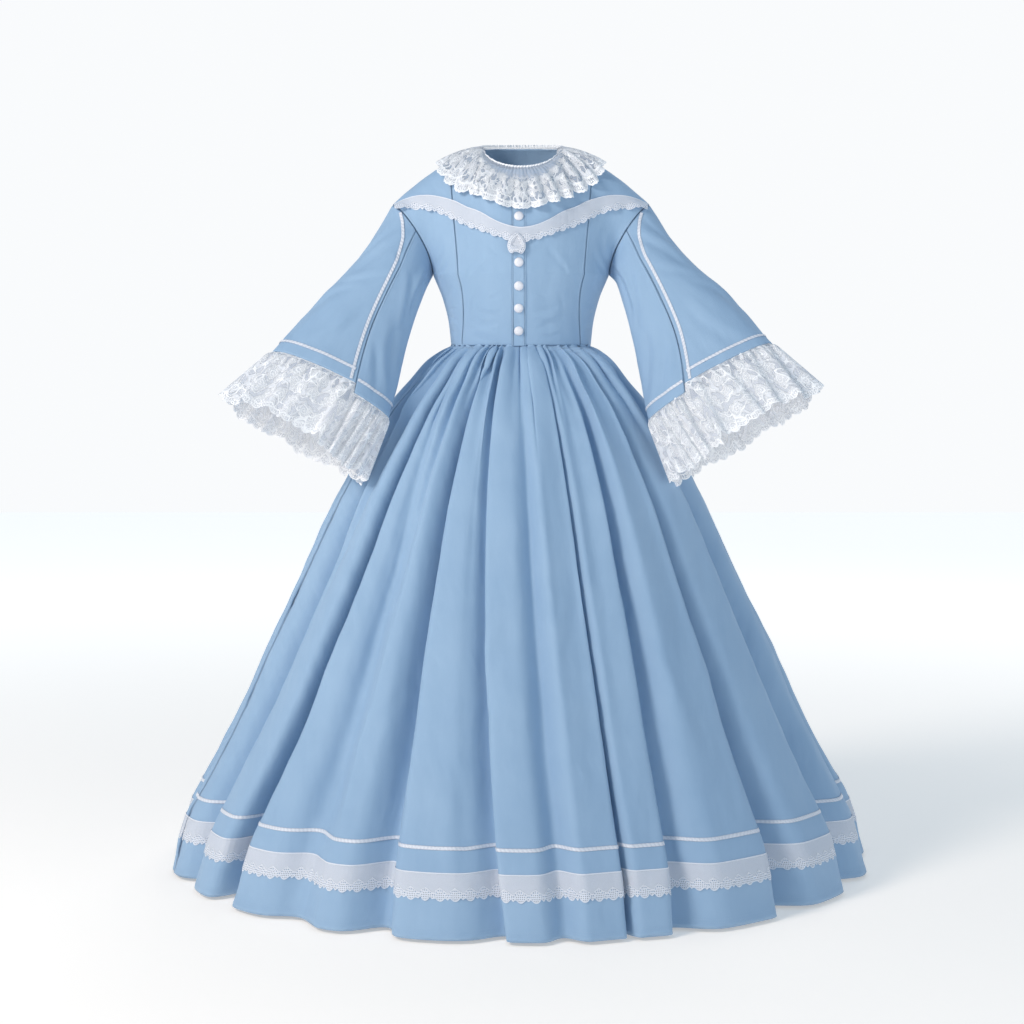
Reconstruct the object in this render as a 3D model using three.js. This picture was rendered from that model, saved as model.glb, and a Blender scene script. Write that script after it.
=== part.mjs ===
import * as THREE from 'three';

// An evening gown that keeps its worn form: princess bodice, pagoda sleeves with lace cuffs,
// lace collar, V-shaped eyelet trim and a full gathered skirt.
// Millimetres, +Z up, the front faces -Y. The origin is the middle of the neck opening.

// Walls and gaps
const CLOTH = 1.6;
const LACE = 1.2;
const TRIM = 1.0;
const RIBBON = 0.8;
const SEAM = 0.3;
const ARMHOLE_GAP = 0.7;
const TINY = 0.003;

// Heights of the bodice
const WAIST_Z = -385;
const ARMPIT_UP = 137;

// Neck and shoulders
const NECK_HALF = 77;
const NECK_DEPTH = 72;
const NECK_Z = -5;
const NECK_FRONT_DROP = 44;
const NECK_BACK_RISE = 8;
const NECK_SHARE = 0.36;
const SHOULDER_RUN = 173;
const SHOULDER_DROP = 106;
const SHOULDER_BEND = 1.5;

// Handles of the curve from the armpit level to the neck and shoulder line
const LOW_HANDLE_RISE = 52;
const LOW_HANDLE_OUT = 6;
const ARM_HANDLE_OUT = 52;
const ARM_HANDLE_POWER = 6;
const HIGH_HANDLE_IN = 22;
const SHOULDER_HANDLE = { out: 62, down: 7 };
const NECK_HANDLE = { out: 32, down: 50 };

// Half width and depths of the bodice at heights above the waist
const BODICE = [
  { up: 0, half: 136, front: 100, back: 94 },
  { up: 45, half: 141, front: 108, back: 97 },
  { up: 90, half: 152, front: 118, back: 102 },
  { up: ARMPIT_UP, half: 171, front: 126, back: 107 },
];

// Princess seam: share of the half front at the waist (0), the armpit (1) and the shoulder (2)
const PRINCESS = [
  { up: 0, share: 0.635 },
  { up: 1, share: 0.50 },
  { up: 1.5, share: 0.57 },
  { up: 2, share: 0.62 },
];

// The button stand, measured from the centre line
const STAND_LEFT = -18;
const STAND_RIGHT = 8.5;

// Half widths and depths of the skirt at distances below the waist
const SKIRT = [
  { down: 0, half: 136, front: 100, back: 94 },
  { down: 27, half: 172, front: 132, back: 130 },
  { down: 66, half: 206, front: 163, back: 168 },
  { down: 105, half: 240, front: 194, back: 204 },
  { down: 200, half: 302, front: 256, back: 270 },
  { down: 302, half: 358, front: 318, back: 332 },
  { down: 420, half: 413, front: 382, back: 392 },
  { down: 579, half: 489, front: 466, back: 474 },
  { down: 698, half: 544, front: 526, back: 532 },
  { down: 818, half: 606, front: 592, back: 596 },
  { down: 899, half: 648, front: 640, back: 642 },
  { down: 1000, half: 676, front: 676, back: 676 },
];
const SKIRT_LENGTH = 1000;

// The skirt's large folds, from the wearer's right round the front, the left and the back.
// Angles of each valley in degrees from the centre front, its depth at the hem, the distance
// below the waist where it starts, and the share of the way to the next ridge that it takes.
const FOLDS = [
  { waist: -174, hem: -171, depth: 46, start: 60, share: 0.46 },
  { waist: -157, hem: -154, depth: 58, start: 40, share: 0.40 },
  { waist: -141, hem: -139, depth: 34, start: 150, share: 0.50 },
  { waist: -124, hem: -122, depth: 55, start: 50, share: 0.42 },
  { waist: -107, hem: -105, depth: 40, start: 90, share: 0.48 },
  { waist: -82, hem: -84, depth: 44, start: 70, share: 0.40 },
  { waist: -60, hem: -66, depth: 36, start: 120, share: 0.45 },
  { waist: -41, hem: -48, depth: 62, start: 40, share: 0.42 },
  { waist: -33, hem: -32.5, depth: 28, start: 230, share: 0.48 },
  { waist: -23, hem: -19.5, depth: 50, start: 40, share: 0.46 },
  { waist: -14, hem: -9.6, depth: 34, start: 30, share: 0.38 },
  { waist: -3, hem: -1.4, depth: 32, start: 110, share: 0.46 },
  { waist: 13, hem: 12.5, depth: 50, start: 50, share: 0.36 },
  { waist: 27, hem: 21.5, depth: 44, start: 70, share: 0.42 },
  { waist: 42, hem: 39, depth: 70, start: 30, share: 0.40 },
  { waist: 66, hem: 62, depth: 52, start: 50, share: 0.42 },
  { waist: 86, hem: 82, depth: 38, start: 110, share: 0.46 },
  { waist: 106, hem: 102, depth: 56, start: 60, share: 0.40 },
  { waist: 121, hem: 119, depth: 36, start: 140, share: 0.50 },
  { waist: 137, hem: 135, depth: 60, start: 40, share: 0.42 },
  { waist: 154, hem: 153, depth: 40, start: 100, share: 0.46 },
  { waist: 170, hem: 171, depth: 52, start: 60, share: 0.42 },
];
const COLUMNS_PER_FOLD = 4;
const SIDE_SEAM_LEFT = 5.5;
const SIDE_SEAM_RIGHT = 16.5;

// Small gathers at the waist: their number all round, and their swing below the waist
const GATHERS = 58;
const GATHER_SWING = [
  { down: 0, swing: 2.0 },
  { down: 14, swing: 4.5 },
  { down: 50, swing: 5.0 },
  { down: 110, swing: 3.0 },
  { down: 190, swing: 0 },
];

// Rows of the skirt below the waist; the ribbon and the eyelet trim lie between two of them
const GATHER_ROWS = [0, 14, 45, 100];
const FOLD_ROWS = [190, 330, 510, 690, 853, 859, 893, 937, SKIRT_LENGTH];
const HEM_RIBBON_ROWS = [853, 859];
const HEM_TRIM_ROWS = [893, 937];

// Sleeves: the section's outer and inner ends, its place forward and its half depth
const ARM_START = { along: 0, outX: 250, outZ: -111, inX: 171, inZ: -248, y: -4, depth: 50 };
const SLEEVES = [
  {
    name: 'right',
    side: -1,
    sections: [
      ARM_START,
      { along: 0.3, outX: 302, outZ: -200, inX: 182, inZ: -270, y: -28, depth: 60 },
      { along: 0.64, outX: 388, outZ: -301, inX: 223, inZ: -397, y: -84, depth: 57 },
      { along: 1, outX: 472, outZ: -399, inX: 250, inZ: -521, y: -156, depth: 48 },
    ],
  },
  {
    name: 'left',
    side: 1,
    sections: [
      ARM_START,
      { along: 0.3, outX: 299, outZ: -190, inX: 183, inZ: -261, y: -28, depth: 60 },
      { along: 0.64, outX: 410, outZ: -303, inX: 224, inZ: -418, y: -84, depth: 57 },
      { along: 1, outX: 473, outZ: -383, inX: 240, inZ: -525, y: -156, depth: 48 },
    ],
  },
];
const FRONT_RISE = 0.35;

// Lengthwise lines of the sleeve, counted from the underarm: the front seam and the outer line
const SLEEVE_LINES = 20;
const FRONT_LINE = 5;
const OUTER_LINE = 10;

// The sleeve leaves the armhole in this direction and takes its own section over this share
const ARMHOLE_AWAY = { out: 0.86, down: 0.5 };
const ARMHOLE_BLEND = 0.34;
const LOOP_STEPS = 10;
const SLEEVE_ROWS = [0, 0.1, 0.2, 0.32, 0.44, 0.56, 0.68, 0.8, 0.91, 1];
const CUFF_STEP = 0.05;

// Front seam of the sleeve and the ribbon beside it, in degrees round from the underarm
const SLEEVE_SEAM = [
  { along: 0, seam: 90, ribbon: 146 },
  { along: 0.05, seam: 89, ribbon: 122 },
  { along: 0.14, seam: 87, ribbon: 102 },
  { along: 0.3, seam: 81, ribbon: 90 },
  { along: 0.64, seam: 74, ribbon: 80 },
  { along: 1, seam: 64, ribbon: 70 },
];
const RIBBON_WIDTH = 6;
const CUFF_RIBBON_ALONG = 0.93;

// Lace cuffs
const CUFF_WAVES = 22;
const CUFF_WAVE_SWING = 8;
const CUFF_WAVE_AT_SEAM = 0.15;
const CUFF_LACE_DEPTH = 132;
const CUFF_FALL = { out: 0.56, forward: 0.2, down: 0.82 };
const CUFF_FLARE = 0.2;
const CUFF_LACE_END = 0.03;

// Lace collar, measured along the bodice from the neck
const COLLAR_WAVES = 28;
const COLLAR_HEAD = 6;
const COLLAR_SWING = 5;
const COLLAR_LIFT = 9.5;
const COLLAR_SEAM_LIFT = 3.0;
const COLLAR_LIFT_BEND = 0.35;
const COLLAR_WAVE_GROWTH = 1.2;
const FRILL_SWING = 1.2;
const COLLAR_ROWS = [1, 0.6, 0.2, 0, -1];
const COLLAR_FRONT_UP = 0.41;
const COLLAR_SIDE_SHARE = 0.69;

// V-shaped trim: how far up the bodice its lower and upper edges lie
const V_FRONT = [
  { share: 0, low: 1.31, high: 1.445 },
  { share: 0.36, low: 1.34, high: 1.475 },
  { share: 0.64, low: 1.46, high: 1.61 },
  { share: 0.85, low: 1.64, high: 1.79 },
  { share: 1, low: 1.80, high: 1.95 },
];
const V_BACK = [
  { share: 0, low: 1.36, high: 1.50 },
  { share: 0.36, low: 1.40, high: 1.54 },
  { share: 0.64, low: 1.50, high: 1.64 },
  { share: 0.85, low: 1.66, high: 1.80 },
  { share: 1, low: 1.80, high: 1.95 },
];
const V_LIFT = 2.4;
const V_LIFT_AT_STAND = 3.6;
const V_LIFT_BACK = 5.2;
const V_STAND_HALF = 16;
const V_LIFT_BLEND = 20;
const V_CENTRE = 0.003;
const V_SIDE = 0.995;

// Folded loop at the point of the V
const LOOP_X = -8;
const LOOP_TOP_Z = -170;
const LOOP_WIDTH = 32;
const LOOP_HEIGHT = 34;
const LOOP_WALL = 8;
const LOOP_DEPTH = 5;
const LOOP_UP = 1.34;
const LOOP_CLEAR = 1.4;
const LOOP_ARC_STEPS = 14;

// Buttons
const BUTTON_X = -5;
const BUTTON_Z = [-140, -227, -271, -313, -356];
const BUTTON_RADIUS = 9;
const BUTTON_HEIGHT = 6;

// Colours and finishes
const finish = (color, roughness) => new THREE.MeshStandardMaterial({ color, roughness, metalness: 0 });
const BLUE_CLOTH = finish(0x9db7d3, 0.85);
const WHITE_LACE = finish(0xe3e7ee, 0.9);
const EYELET = finish(0xdde3ec, 0.9);
const SATIN = finish(0xeff2f6, 0.4);
const BUTTON_WHITE = finish(0xf1f3f6, 0.35);

const gown = new THREE.Group();

// Small helpers
const radians = (degrees) => (degrees * Math.PI) / 180;
const mix = (a, b, f) => a + (b - a) * f;
const mixPoint = (a, b, f) => a.clone().lerp(b, f);
const ease = (f) => {
  const c = Math.min(Math.max(f, 0), 1);
  return c * c * (3 - 2 * c);
};
const range = (count) => Array.from({ length: count }, (_, i) => i);
const spread = (from, to, steps) => range(steps + 1).map((i) => mix(from, to, i / steps));

// Reads one column of a table at any key, on a smooth curve that doesn't overshoot its rows
function read(table, key, column, at) {
  const last = table.length - 1;
  if (at <= table[0][key]) return table[0][column];
  if (at >= table[last][key]) return table[last][column];
  const i = table.findIndex((row) => row[key] > at) - 1;
  const slope = (k) => (table[k + 1][column] - table[k][column]) / (table[k + 1][key] - table[k][key]);
  const tangent = (k) => {
    if (k === 0) return slope(0);
    if (k === last) return slope(last - 1);
    const before = slope(k - 1);
    const after = slope(k);
    return before * after <= 0 ? 0 : (2 * before * after) / (before + after);
  };
  const width = table[i + 1][key] - table[i][key];
  const f = (at - table[i][key]) / width;
  const f2 = f * f;
  const f3 = f2 * f;
  return (
    (2 * f3 - 3 * f2 + 1) * table[i][column] +
    (f3 - 2 * f2 + f) * width * tangent(i) +
    (3 * f2 - 2 * f3) * table[i + 1][column] +
    (f3 - f2) * width * tangent(i + 1)
  );
}

// The outward direction of a surface at (a, b), where a runs to its right and b runs up
function normalAt(surface, a, b, [stepA, stepB]) {
  const right = surface(a + stepA, b).sub(surface(a - stepA, b));
  const up = surface(a, b + stepB).sub(surface(a, b - stepB));
  return right.cross(up).normalize();
}

// Triangles between rows of points, bottom row first; a row may have half the points below it
function sheetFaces(rowLengths, closed) {
  const faces = [];
  let start = 0;
  rowLengths.slice(0, -1).forEach((low, r) => {
    const high = rowLengths[r + 1];
    const highStart = start + low;
    const lowCells = closed ? low : low - 1;
    const finer = high > low ? 2 : 1;
    range(lowCells).forEach((c) => {
      const a = start + c;
      const b = start + ((c + 1) % low);
      const p = highStart + c * finer;
      const q = highStart + ((c * finer + finer) % high);
      if (finer === 1) {
        faces.push([a, b, q], [a, q, p]);
      } else {
        faces.push([a, p + 1, p], [a, b, p + 1], [b, q, p + 1]);
      }
    });
    start = highStart;
  });
  return faces;
}

// Averaged directions of the faces round each point
function meshNormals(points, faces) {
  const normals = points.map(() => new THREE.Vector3());
  faces.forEach(([a, b, c]) => {
    const n = points[b].clone().sub(points[a]).cross(points[c].clone().sub(points[a]));
    [a, b, c].forEach((i) => normals[i].add(n));
  });
  return normals.map((n) => n.normalize());
}

// A closed wall: the sheet of points moved out by `low` and by `high`, joined along its edges
function wall(points, normals, faces, low, high) {
  const moved = (distance) => points.map((p, i) => p.clone().addScaledVector(normals[i], distance));
  const all = [...moved(high), ...moved(low)];
  const shift = points.length;
  const triangles = [];
  const edges = new Set();
  faces.forEach(([a, b, c]) => {
    triangles.push(a, b, c, a + shift, c + shift, b + shift);
    [[a, b], [b, c], [c, a]].forEach(([i, j]) => edges.add(`${i} ${j}`));
  });
  edges.forEach((edge) => {
    const [i, j] = edge.split(' ').map(Number);
    if (!edges.has(`${j} ${i}`)) triangles.push(j, i, i + shift, j, i + shift, j + shift);
  });
  const geometry = new THREE.BufferGeometry();
  const flat = all.flatMap((p) => [p.x, p.y, p.z]);
  geometry.setAttribute('position', new THREE.Float32BufferAttribute(flat, 3));
  geometry.setIndex(triangles);
  geometry.computeVertexNormals();
  return geometry;
}

function add(name, geometry, material) {
  const mesh = new THREE.Mesh(geometry, material);
  mesh.name = name;
  gown.add(mesh);
  return mesh;
}

// A panel cut from a surface: rows of (a, b) places, bottom row first
function panel(name, { surface, steps, rows, material, low, high }) {
  const places = rows.flat();
  const points = places.map(([a, b]) => surface(a, b));
  const normals = places.map(([a, b]) => normalAt(surface, a, b, steps));
  const faces = sheetFaces(rows.map((row) => row.length), false);
  return add(name, wall(points, normals, faces, low, high), material);
}

// Bodice surface. `across` runs from -1 (wearer's right side) over 0 (centre) to 1;
// `up` runs from 0 (waist) over 1 (armpit) to 2 (neck and shoulder line).
function topEdge(across, facing) {
  const sign = across < 0 ? -1 : 1;
  const share = Math.abs(across);
  if (share < NECK_SHARE) {
    const turn = ((share / NECK_SHARE) * Math.PI) / 2;
    const lift = facing < 0 ? -NECK_FRONT_DROP : NECK_BACK_RISE;
    return new THREE.Vector3(
      sign * NECK_HALF * Math.sin(turn),
      facing * NECK_DEPTH * Math.cos(turn),
      NECK_Z + lift * Math.cos(turn),
    );
  }
  const out = (share - NECK_SHARE) / (1 - NECK_SHARE);
  return new THREE.Vector3(
    sign * (NECK_HALF + SHOULDER_RUN * out),
    0,
    NECK_Z - SHOULDER_DROP * out ** SHOULDER_BEND,
  );
}

function bodicePoint(across, up, facing) {
  const level = Math.min(up, 1) * ARMPIT_UP;
  const turn = (across * Math.PI) / 2;
  const half = read(BODICE, 'up', 'half', level);
  const depth = read(BODICE, 'up', facing < 0 ? 'front' : 'back', level);
  const low = new THREE.Vector3(
    half * Math.sin(turn),
    facing * depth * Math.cos(turn),
    WAIST_Z + level,
  );
  if (up <= 1) return low;
  const share = Math.abs(across);
  const sign = across < 0 ? -1 : 1;
  const onNeck = 1 - ease(share / NECK_SHARE);
  const nearArm = share ** ARM_HANDLE_POWER;
  const top = topEdge(across, facing);
  const lowOut = LOW_HANDLE_OUT + ARM_HANDLE_OUT * nearArm;
  const lowHandle = new THREE.Vector3(0, facing * lowOut, LOW_HANDLE_RISE).add(low);
  const highHandle = new THREE.Vector3(
    -sign * HIGH_HANDLE_IN * share ** 2,
    facing * mix(SHOULDER_HANDLE.out, NECK_HANDLE.out, onNeck),
    -mix(SHOULDER_HANDLE.down, NECK_HANDLE.down, onNeck),
  ).add(top);
  return new THREE.CubicBezierCurve3(low, lowHandle, highHandle, top).getPoint(up - 1);
}

const bodiceFront = (across, up) => bodicePoint(across, up, -1);
const bodiceBack = (across, up) => bodicePoint(-across, up, 1);

const BODICE_STEPS = [0.002, 0.002];
const BODICE_ROWS = [0, 0.34, 0.68, ...spread(1, 2, LOOP_STEPS)];
const princessAt = (up) => read(PRINCESS, 'up', 'share', up);

// The share across at which the front lies a given distance from the centre line
function acrossAt(x, up) {
  let low = -1;
  let high = 1;
  range(40).forEach(() => {
    const middle = (low + high) / 2;
    if (bodiceFront(middle, up).x < x) low = middle;
    else high = middle;
  });
  return (low + high) / 2;
}

// The share across, moved along the surface by a small distance in millimetres
function nudge(across, up, distance) {
  const a = bodiceFront(across - 0.01, up);
  const b = bodiceFront(across + 0.01, up);
  return across + (distance * 0.02) / a.distanceTo(b);
}

// Ends of rows stay half a seam short of the neighbour
const rowUp = (up) => {
  if (up === 2) return 2 - TINY;
  return up;
};

function frontPanel(name, leftEdge, rightEdge, steps, firstStep) {
  const rows = BODICE_ROWS.map((row) => {
    const up = rowUp(row);
    const left = leftEdge(up);
    const right = rightEdge(up);
    if (!firstStep) return spread(left, right, steps).map((a) => [a, up]);
    return [left, ...spread(firstStep(up), right, steps - 1)].map((a) => [a, up]);
  });
  const cloth = { steps: BODICE_STEPS, material: BLUE_CLOTH, low: -CLOTH, high: 0 };
  panel(name, { surface: bodiceFront, rows, ...cloth });
}

const HALF_SEAM = SEAM / 2;
const sideEdge = (up) => nudge(1, up, -HALF_SEAM);
const princess = (up, sign, gapSide) => nudge(sign * princessAt(up), up, gapSide * HALF_SEAM);
const standLeft = (up) => acrossAt(STAND_LEFT, up);
const standRight = (up) => acrossAt(STAND_RIGHT, up);

function makeBodice() {
  frontPanel('bodice_front_centre_right', (up) => princess(up, -1, 1),
    (up) => nudge(standLeft(up), up, -HALF_SEAM), 7);
  frontPanel('bodice_front_centre_left', (up) => nudge(standLeft(up), up, HALF_SEAM),
    (up) => princess(up, 1, -1), 8, standRight);
  frontPanel('bodice_front_side_right', (up) => -sideEdge(up), (up) => princess(up, -1, -1), 5);
  frontPanel('bodice_front_side_left', (up) => princess(up, 1, 1), sideEdge, 5);
  const backRows = BODICE_ROWS.map((row) => {
    const up = rowUp(row);
    return spread(-sideEdge(up), sideEdge(up), 20).map((a) => [a, up]);
  });
  const cloth = { steps: BODICE_STEPS, material: BLUE_CLOTH };
  panel('bodice_back', { surface: bodiceBack, rows: backRows, low: -CLOTH, high: 0, ...cloth });
  const standRows = BODICE_ROWS.map((row) => {
    const up = rowUp(row);
    return [[nudge(standLeft(up), up, HALF_SEAM), up], [standRight(up), up]];
  });
  panel('button_stand', {
    surface: bodiceFront, rows: standRows, low: SEAM, high: SEAM + CLOTH, ...cloth,
  });
}

// Skirt surface. `turn` counts folds round the skirt, `down` is the distance below the waist.
function foldAngle(index, down) {
  const laps = Math.floor(index / FOLDS.length);
  const fold = FOLDS[index - laps * FOLDS.length];
  return laps * 360 + mix(fold.waist, fold.hem, down / SKIRT_LENGTH);
}

function foldCut(index, down, distance) {
  const laps = Math.floor(index / FOLDS.length);
  const fold = FOLDS[index - laps * FOLDS.length];
  if (distance >= fold.share || down <= fold.start) return 0;
  const grown = ((down - fold.start) / (SKIRT_LENGTH - fold.start)) ** 0.8;
  return fold.depth * grown * (0.5 + 0.5 * Math.cos((Math.PI * distance) / fold.share));
}

function skirtPoint(turn, down) {
  const index = Math.floor(turn);
  const f = turn - index;
  const angle = radians(mix(foldAngle(index, down), foldAngle(index + 1, down), f));
  const cut = foldCut(index, down, f) + foldCut(index + 1, down, 1 - f);
  const swing = read(GATHER_SWING, 'down', 'swing', down);
  const gather = swing * Math.cos((2 * Math.PI * GATHERS * turn) / FOLDS.length);
  const half = read(SKIRT, 'down', 'half', down);
  const depth = read(SKIRT, 'down', Math.cos(angle) > 0 ? 'front' : 'back', down);
  const radial = new THREE.Vector3(Math.sin(angle), -Math.cos(angle), 0);
  const base = new THREE.Vector3(half * Math.sin(angle), -depth * Math.cos(angle), WAIST_Z - SEAM - down);
  return base.addScaledVector(radial, gather - cut);
}

// The rows of one stretch of the skirt, hem first, each with its points from turn to turn
function skirtRows(downs, from, to) {
  return [...downs].reverse().map((down) => {
    const perFold = COLUMNS_PER_FOLD * (GATHER_ROWS.includes(down) ? 2 : 1);
    return spread(from, to, Math.round((to - from) * perFold)).map((turn) => [turn, down]);
  });
}

// Directions of the skirt's faces, smoothed over a small step round and down
function skirtNormal(turn, down) {
  const round = 0.5 / COLUMNS_PER_FOLD / (down <= 100 ? 2 : 1);
  const fall = 4;
  const right = skirtPoint(turn + round, down).sub(skirtPoint(turn - round, down));
  const up = skirtPoint(turn, down - fall).sub(skirtPoint(turn, down + fall));
  return right.cross(up).normalize();
}

function skirtPiece(name, downs, from, to, material, low, high) {
  const rows = skirtRows(downs, from, to);
  const last = (row, i) => i === row.length - 1;
  const points = rows.flatMap((row) =>
    row.map(([turn, down], i) => {
      const point = skirtPoint(turn, down);
      const inward = i === 0 ? 1 : last(row, i) ? -1 : 0;
      const along = skirtPoint(turn + 0.01, down).sub(skirtPoint(turn - 0.01, down)).normalize();
      return point.addScaledVector(along, inward * HALF_SEAM);
    }),
  );
  const normals = rows.flatMap((row) => row.map(([turn, down]) => skirtNormal(turn, down)));
  const faces = sheetFaces(rows.map((row) => row.length), false);
  add(name, wall(points, normals, faces, low, high), material);
}

function makeSkirt() {
  const halves = [
    ['front', SIDE_SEAM_LEFT, SIDE_SEAM_RIGHT],
    ['back', SIDE_SEAM_RIGHT, SIDE_SEAM_LEFT + FOLDS.length],
  ];
  halves.forEach(([half, from, to]) => {
    skirtPiece(`skirt_${half}`, [...GATHER_ROWS, ...FOLD_ROWS], from, to, BLUE_CLOTH, -CLOTH, 0);
    skirtPiece(`hem_ribbon_${half}`, HEM_RIBBON_ROWS, from, to, SATIN, SEAM, SEAM + RIBBON);
    skirtPiece(`hem_trim_${half}`, HEM_TRIM_ROWS, from, to, EYELET, SEAM, SEAM + TRIM);
  });
}

// Sleeve surface. `round` is in degrees from the underarm over the front (90) and the top (180)
// to the back (270); `along` runs from the armhole (0) to the cuff (1).
function armholePoint(round, side) {
  const front = round <= 180;
  const up = 1 + (front ? round : 360 - round) / 180;
  const steps = (up - 1) * LOOP_STEPS;
  const low = 1 + Math.floor(steps) / LOOP_STEPS;
  const high = Math.min(low + 1 / LOOP_STEPS, 2);
  const facing = front ? -1 : 1;
  const below = bodicePoint(side, low, facing);
  const above = bodicePoint(side, high, facing);
  return mixPoint(below, above, steps - Math.floor(steps));
}

function sleeveSection(sleeve, round, along) {
  const at = (column) => read(sleeve.sections, 'along', column, along);
  const outer = new THREE.Vector3(sleeve.side * at('outX'), at('y'), at('outZ'));
  const inner = new THREE.Vector3(sleeve.side * at('inX'), at('y'), at('inZ'));
  const centre = mixPoint(inner, outer, 0.5);
  const forward = new THREE.Vector3(0, -1, FRONT_RISE * ease(along)).multiplyScalar(at('depth'));
  const angle = radians(round);
  return centre
    .clone()
    .addScaledVector(outer.sub(centre), -Math.cos(angle))
    .addScaledVector(forward, Math.sin(angle));
}

function sleevePoint(sleeve, round, along) {
  const turn = ((round % 360) + 360) % 360;
  const { out, down } = ARMHOLE_AWAY;
  const away = new THREE.Vector3(sleeve.side * out, 0, -down).multiplyScalar(ARMHOLE_GAP);
  const start = armholePoint(turn, sleeve.side).add(away);
  const own = ease(along / ARMHOLE_BLEND);
  const shift = start.sub(sleeveSection(sleeve, turn, 0)).multiplyScalar(1 - own);
  return sleeveSection(sleeve, turn, along).add(shift);
}

// The place round the sleeve of one of its lengthwise lines, in degrees
function lineRound(line, along) {
  const seam = read(SLEEVE_SEAM, 'along', 'seam', along);
  if (line < 0 || line > OUTER_LINE) return (360 * line) / SLEEVE_LINES;
  if (line <= FRONT_LINE) return mix(0, seam, line / FRONT_LINE);
  return mix(seam, 180, (line - FRONT_LINE) / (OUTER_LINE - FRONT_LINE));
}

// The upper sleeve's hem rises towards the front seam, and the under sleeve reaches the cuff
function alongAt(row, line, onUpper) {
  if (line < FRONT_LINE || line > OUTER_LINE) return row;
  const rise = (CUFF_STEP * (OUTER_LINE - line)) / (OUTER_LINE - FRONT_LINE);
  return row === 1 && !onUpper ? 1 : row * (1 - rise);
}

// The lines of one half of the sleeve
const HALF_LINES = SLEEVE_LINES / 2;
const halfLines = (first) => range(HALF_LINES + 1).map((i) => i + first);

function sleeveGrid(sleeve, lines, edgeNudge) {
  return SLEEVE_ROWS.map((row) =>
    lines.map((line, i) => {
      const along = alongAt(row, line, lines.includes(OUTER_LINE));
      const edge = i === 0 ? 1 : i === lines.length - 1 ? -1 : 0;
      const round = lineRound(line, along);
      const a = sleevePoint(sleeve, round - 1, along);
      const b = sleevePoint(sleeve, round + 1, along);
      return [round + (edge * edgeNudge * 2) / a.distanceTo(b), along];
    }),
  );
}

const SLEEVE_HALVES = [
  ['upper', FRONT_LINE],
  ['under', FRONT_LINE - HALF_LINES],
];

// Sleeve walls face out on either side of the body
const SLEEVE_STEPS = [6, 0.01];

function sleevePanel(name, sleeve, { rows, material, low, high }) {
  const surface = (a, b) => sleevePoint(sleeve, sleeve.side * a, -b);
  const places = [...rows].reverse().map((row) => {
    const cells = row.map(([round, along]) => [sleeve.side * round, -along]);
    return sleeve.side > 0 ? cells : cells.reverse();
  });
  panel(name, { surface, steps: SLEEVE_STEPS, rows: places, material, low, high });
}

function makeSleeve(sleeve) {
  const cloth = { material: BLUE_CLOTH, low: -CLOTH, high: 0 };
  SLEEVE_HALVES.forEach(([half, first]) => {
    const rows = sleeveGrid(sleeve, halfLines(first), HALF_SEAM);
    sleevePanel(`sleeve_${half}_${sleeve.name}`, sleeve, { rows, ...cloth });
  });
}

// Satin ribbons on the sleeves: one beside the front seam, one above each hem
const SEAM_RIBBON_ROWS = [
  0.012, 0.03, 0.05, 0.07, 0.09, 0.12, 0.16, 0.2, 0.27, 0.34, 0.44, 0.56, 0.68, 0.78, 0.87,
];
const CUFF_RIBBON_HALF = 0.008;
const CUFF_RIBBON_ROWS = [CUFF_RIBBON_ALONG - CUFF_RIBBON_HALF, CUFF_RIBBON_ALONG + CUFF_RIBBON_HALF];
const CUFF_RIBBON_END = 0.4;
const RIBBON_LIFT = 1.0;

function makeSleeveRibbons(sleeve) {
  const satin = { material: SATIN, low: RIBBON_LIFT, high: RIBBON_LIFT + RIBBON };
  const beside = SEAM_RIBBON_ROWS.map((along) => {
    const round = read(SLEEVE_SEAM, 'along', 'ribbon', along);
    const a = sleevePoint(sleeve, round - 1, along);
    const b = sleevePoint(sleeve, round + 1, along);
    const half = RIBBON_WIDTH / a.distanceTo(b);
    return [[round - half, along], [round + half, along]];
  });
  sleevePanel(`sleeve_ribbon_${sleeve.name}`, sleeve, { rows: beside, ...satin });
  SLEEVE_HALVES.forEach(([half, first]) => {
    const lines = halfLines(first);
    const rows = CUFF_RIBBON_ROWS.map((row) =>
      lines.map((line, i) => {
        const along = alongAt(row, line, true);
        const edge = i === 0 ? 1 : i === lines.length - 1 ? -1 : 0;
        return [lineRound(line, along) + edge * CUFF_RIBBON_END, along];
      }),
    );
    sleevePanel(`cuff_ribbon_${half}_${sleeve.name}`, sleeve, { rows, ...satin });
  });
}

// Gathered lace below the cuff. `line` counts the sleeve's lengthwise lines, `drop` runs from
// the sleeve's hem (0) to the lace's edge (1).
function cuffLacePoint(sleeve, line, drop, onUpper) {
  const along = alongAt(1, line, onUpper);
  const round = lineRound(line, along);
  const hem = sleevePoint(sleeve, round, along);
  const end = sleeve.sections.at(-1);
  const angle = radians(round);
  const across = new THREE.Vector3(sleeve.side * (end.outX - end.inX), 0, end.outZ - end.inZ).normalize();
  const forward = new THREE.Vector3(0, -1, FRONT_RISE).normalize();
  const halfWidth = Math.hypot(end.outX - end.inX, end.outZ - end.inZ) / 2;
  const out = across
    .multiplyScalar(-Math.cos(angle) / halfWidth)
    .addScaledVector(forward, Math.sin(angle) / end.depth)
    .normalize();
  const fall = new THREE.Vector3(sleeve.side * CUFF_FALL.out, -CUFF_FALL.forward, -CUFF_FALL.down)
    .addScaledVector(out, CUFF_FLARE)
    .normalize();
  const wave = Math.cos((2 * Math.PI * CUFF_WAVES * line) / SLEEVE_LINES);
  return hem
    .addScaledVector(fall, mix(2 * SEAM, CUFF_LACE_DEPTH, drop))
    .addScaledVector(out, CUFF_WAVE_SWING * wave * mix(CUFF_WAVE_AT_SEAM, 1, drop));
}

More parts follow.
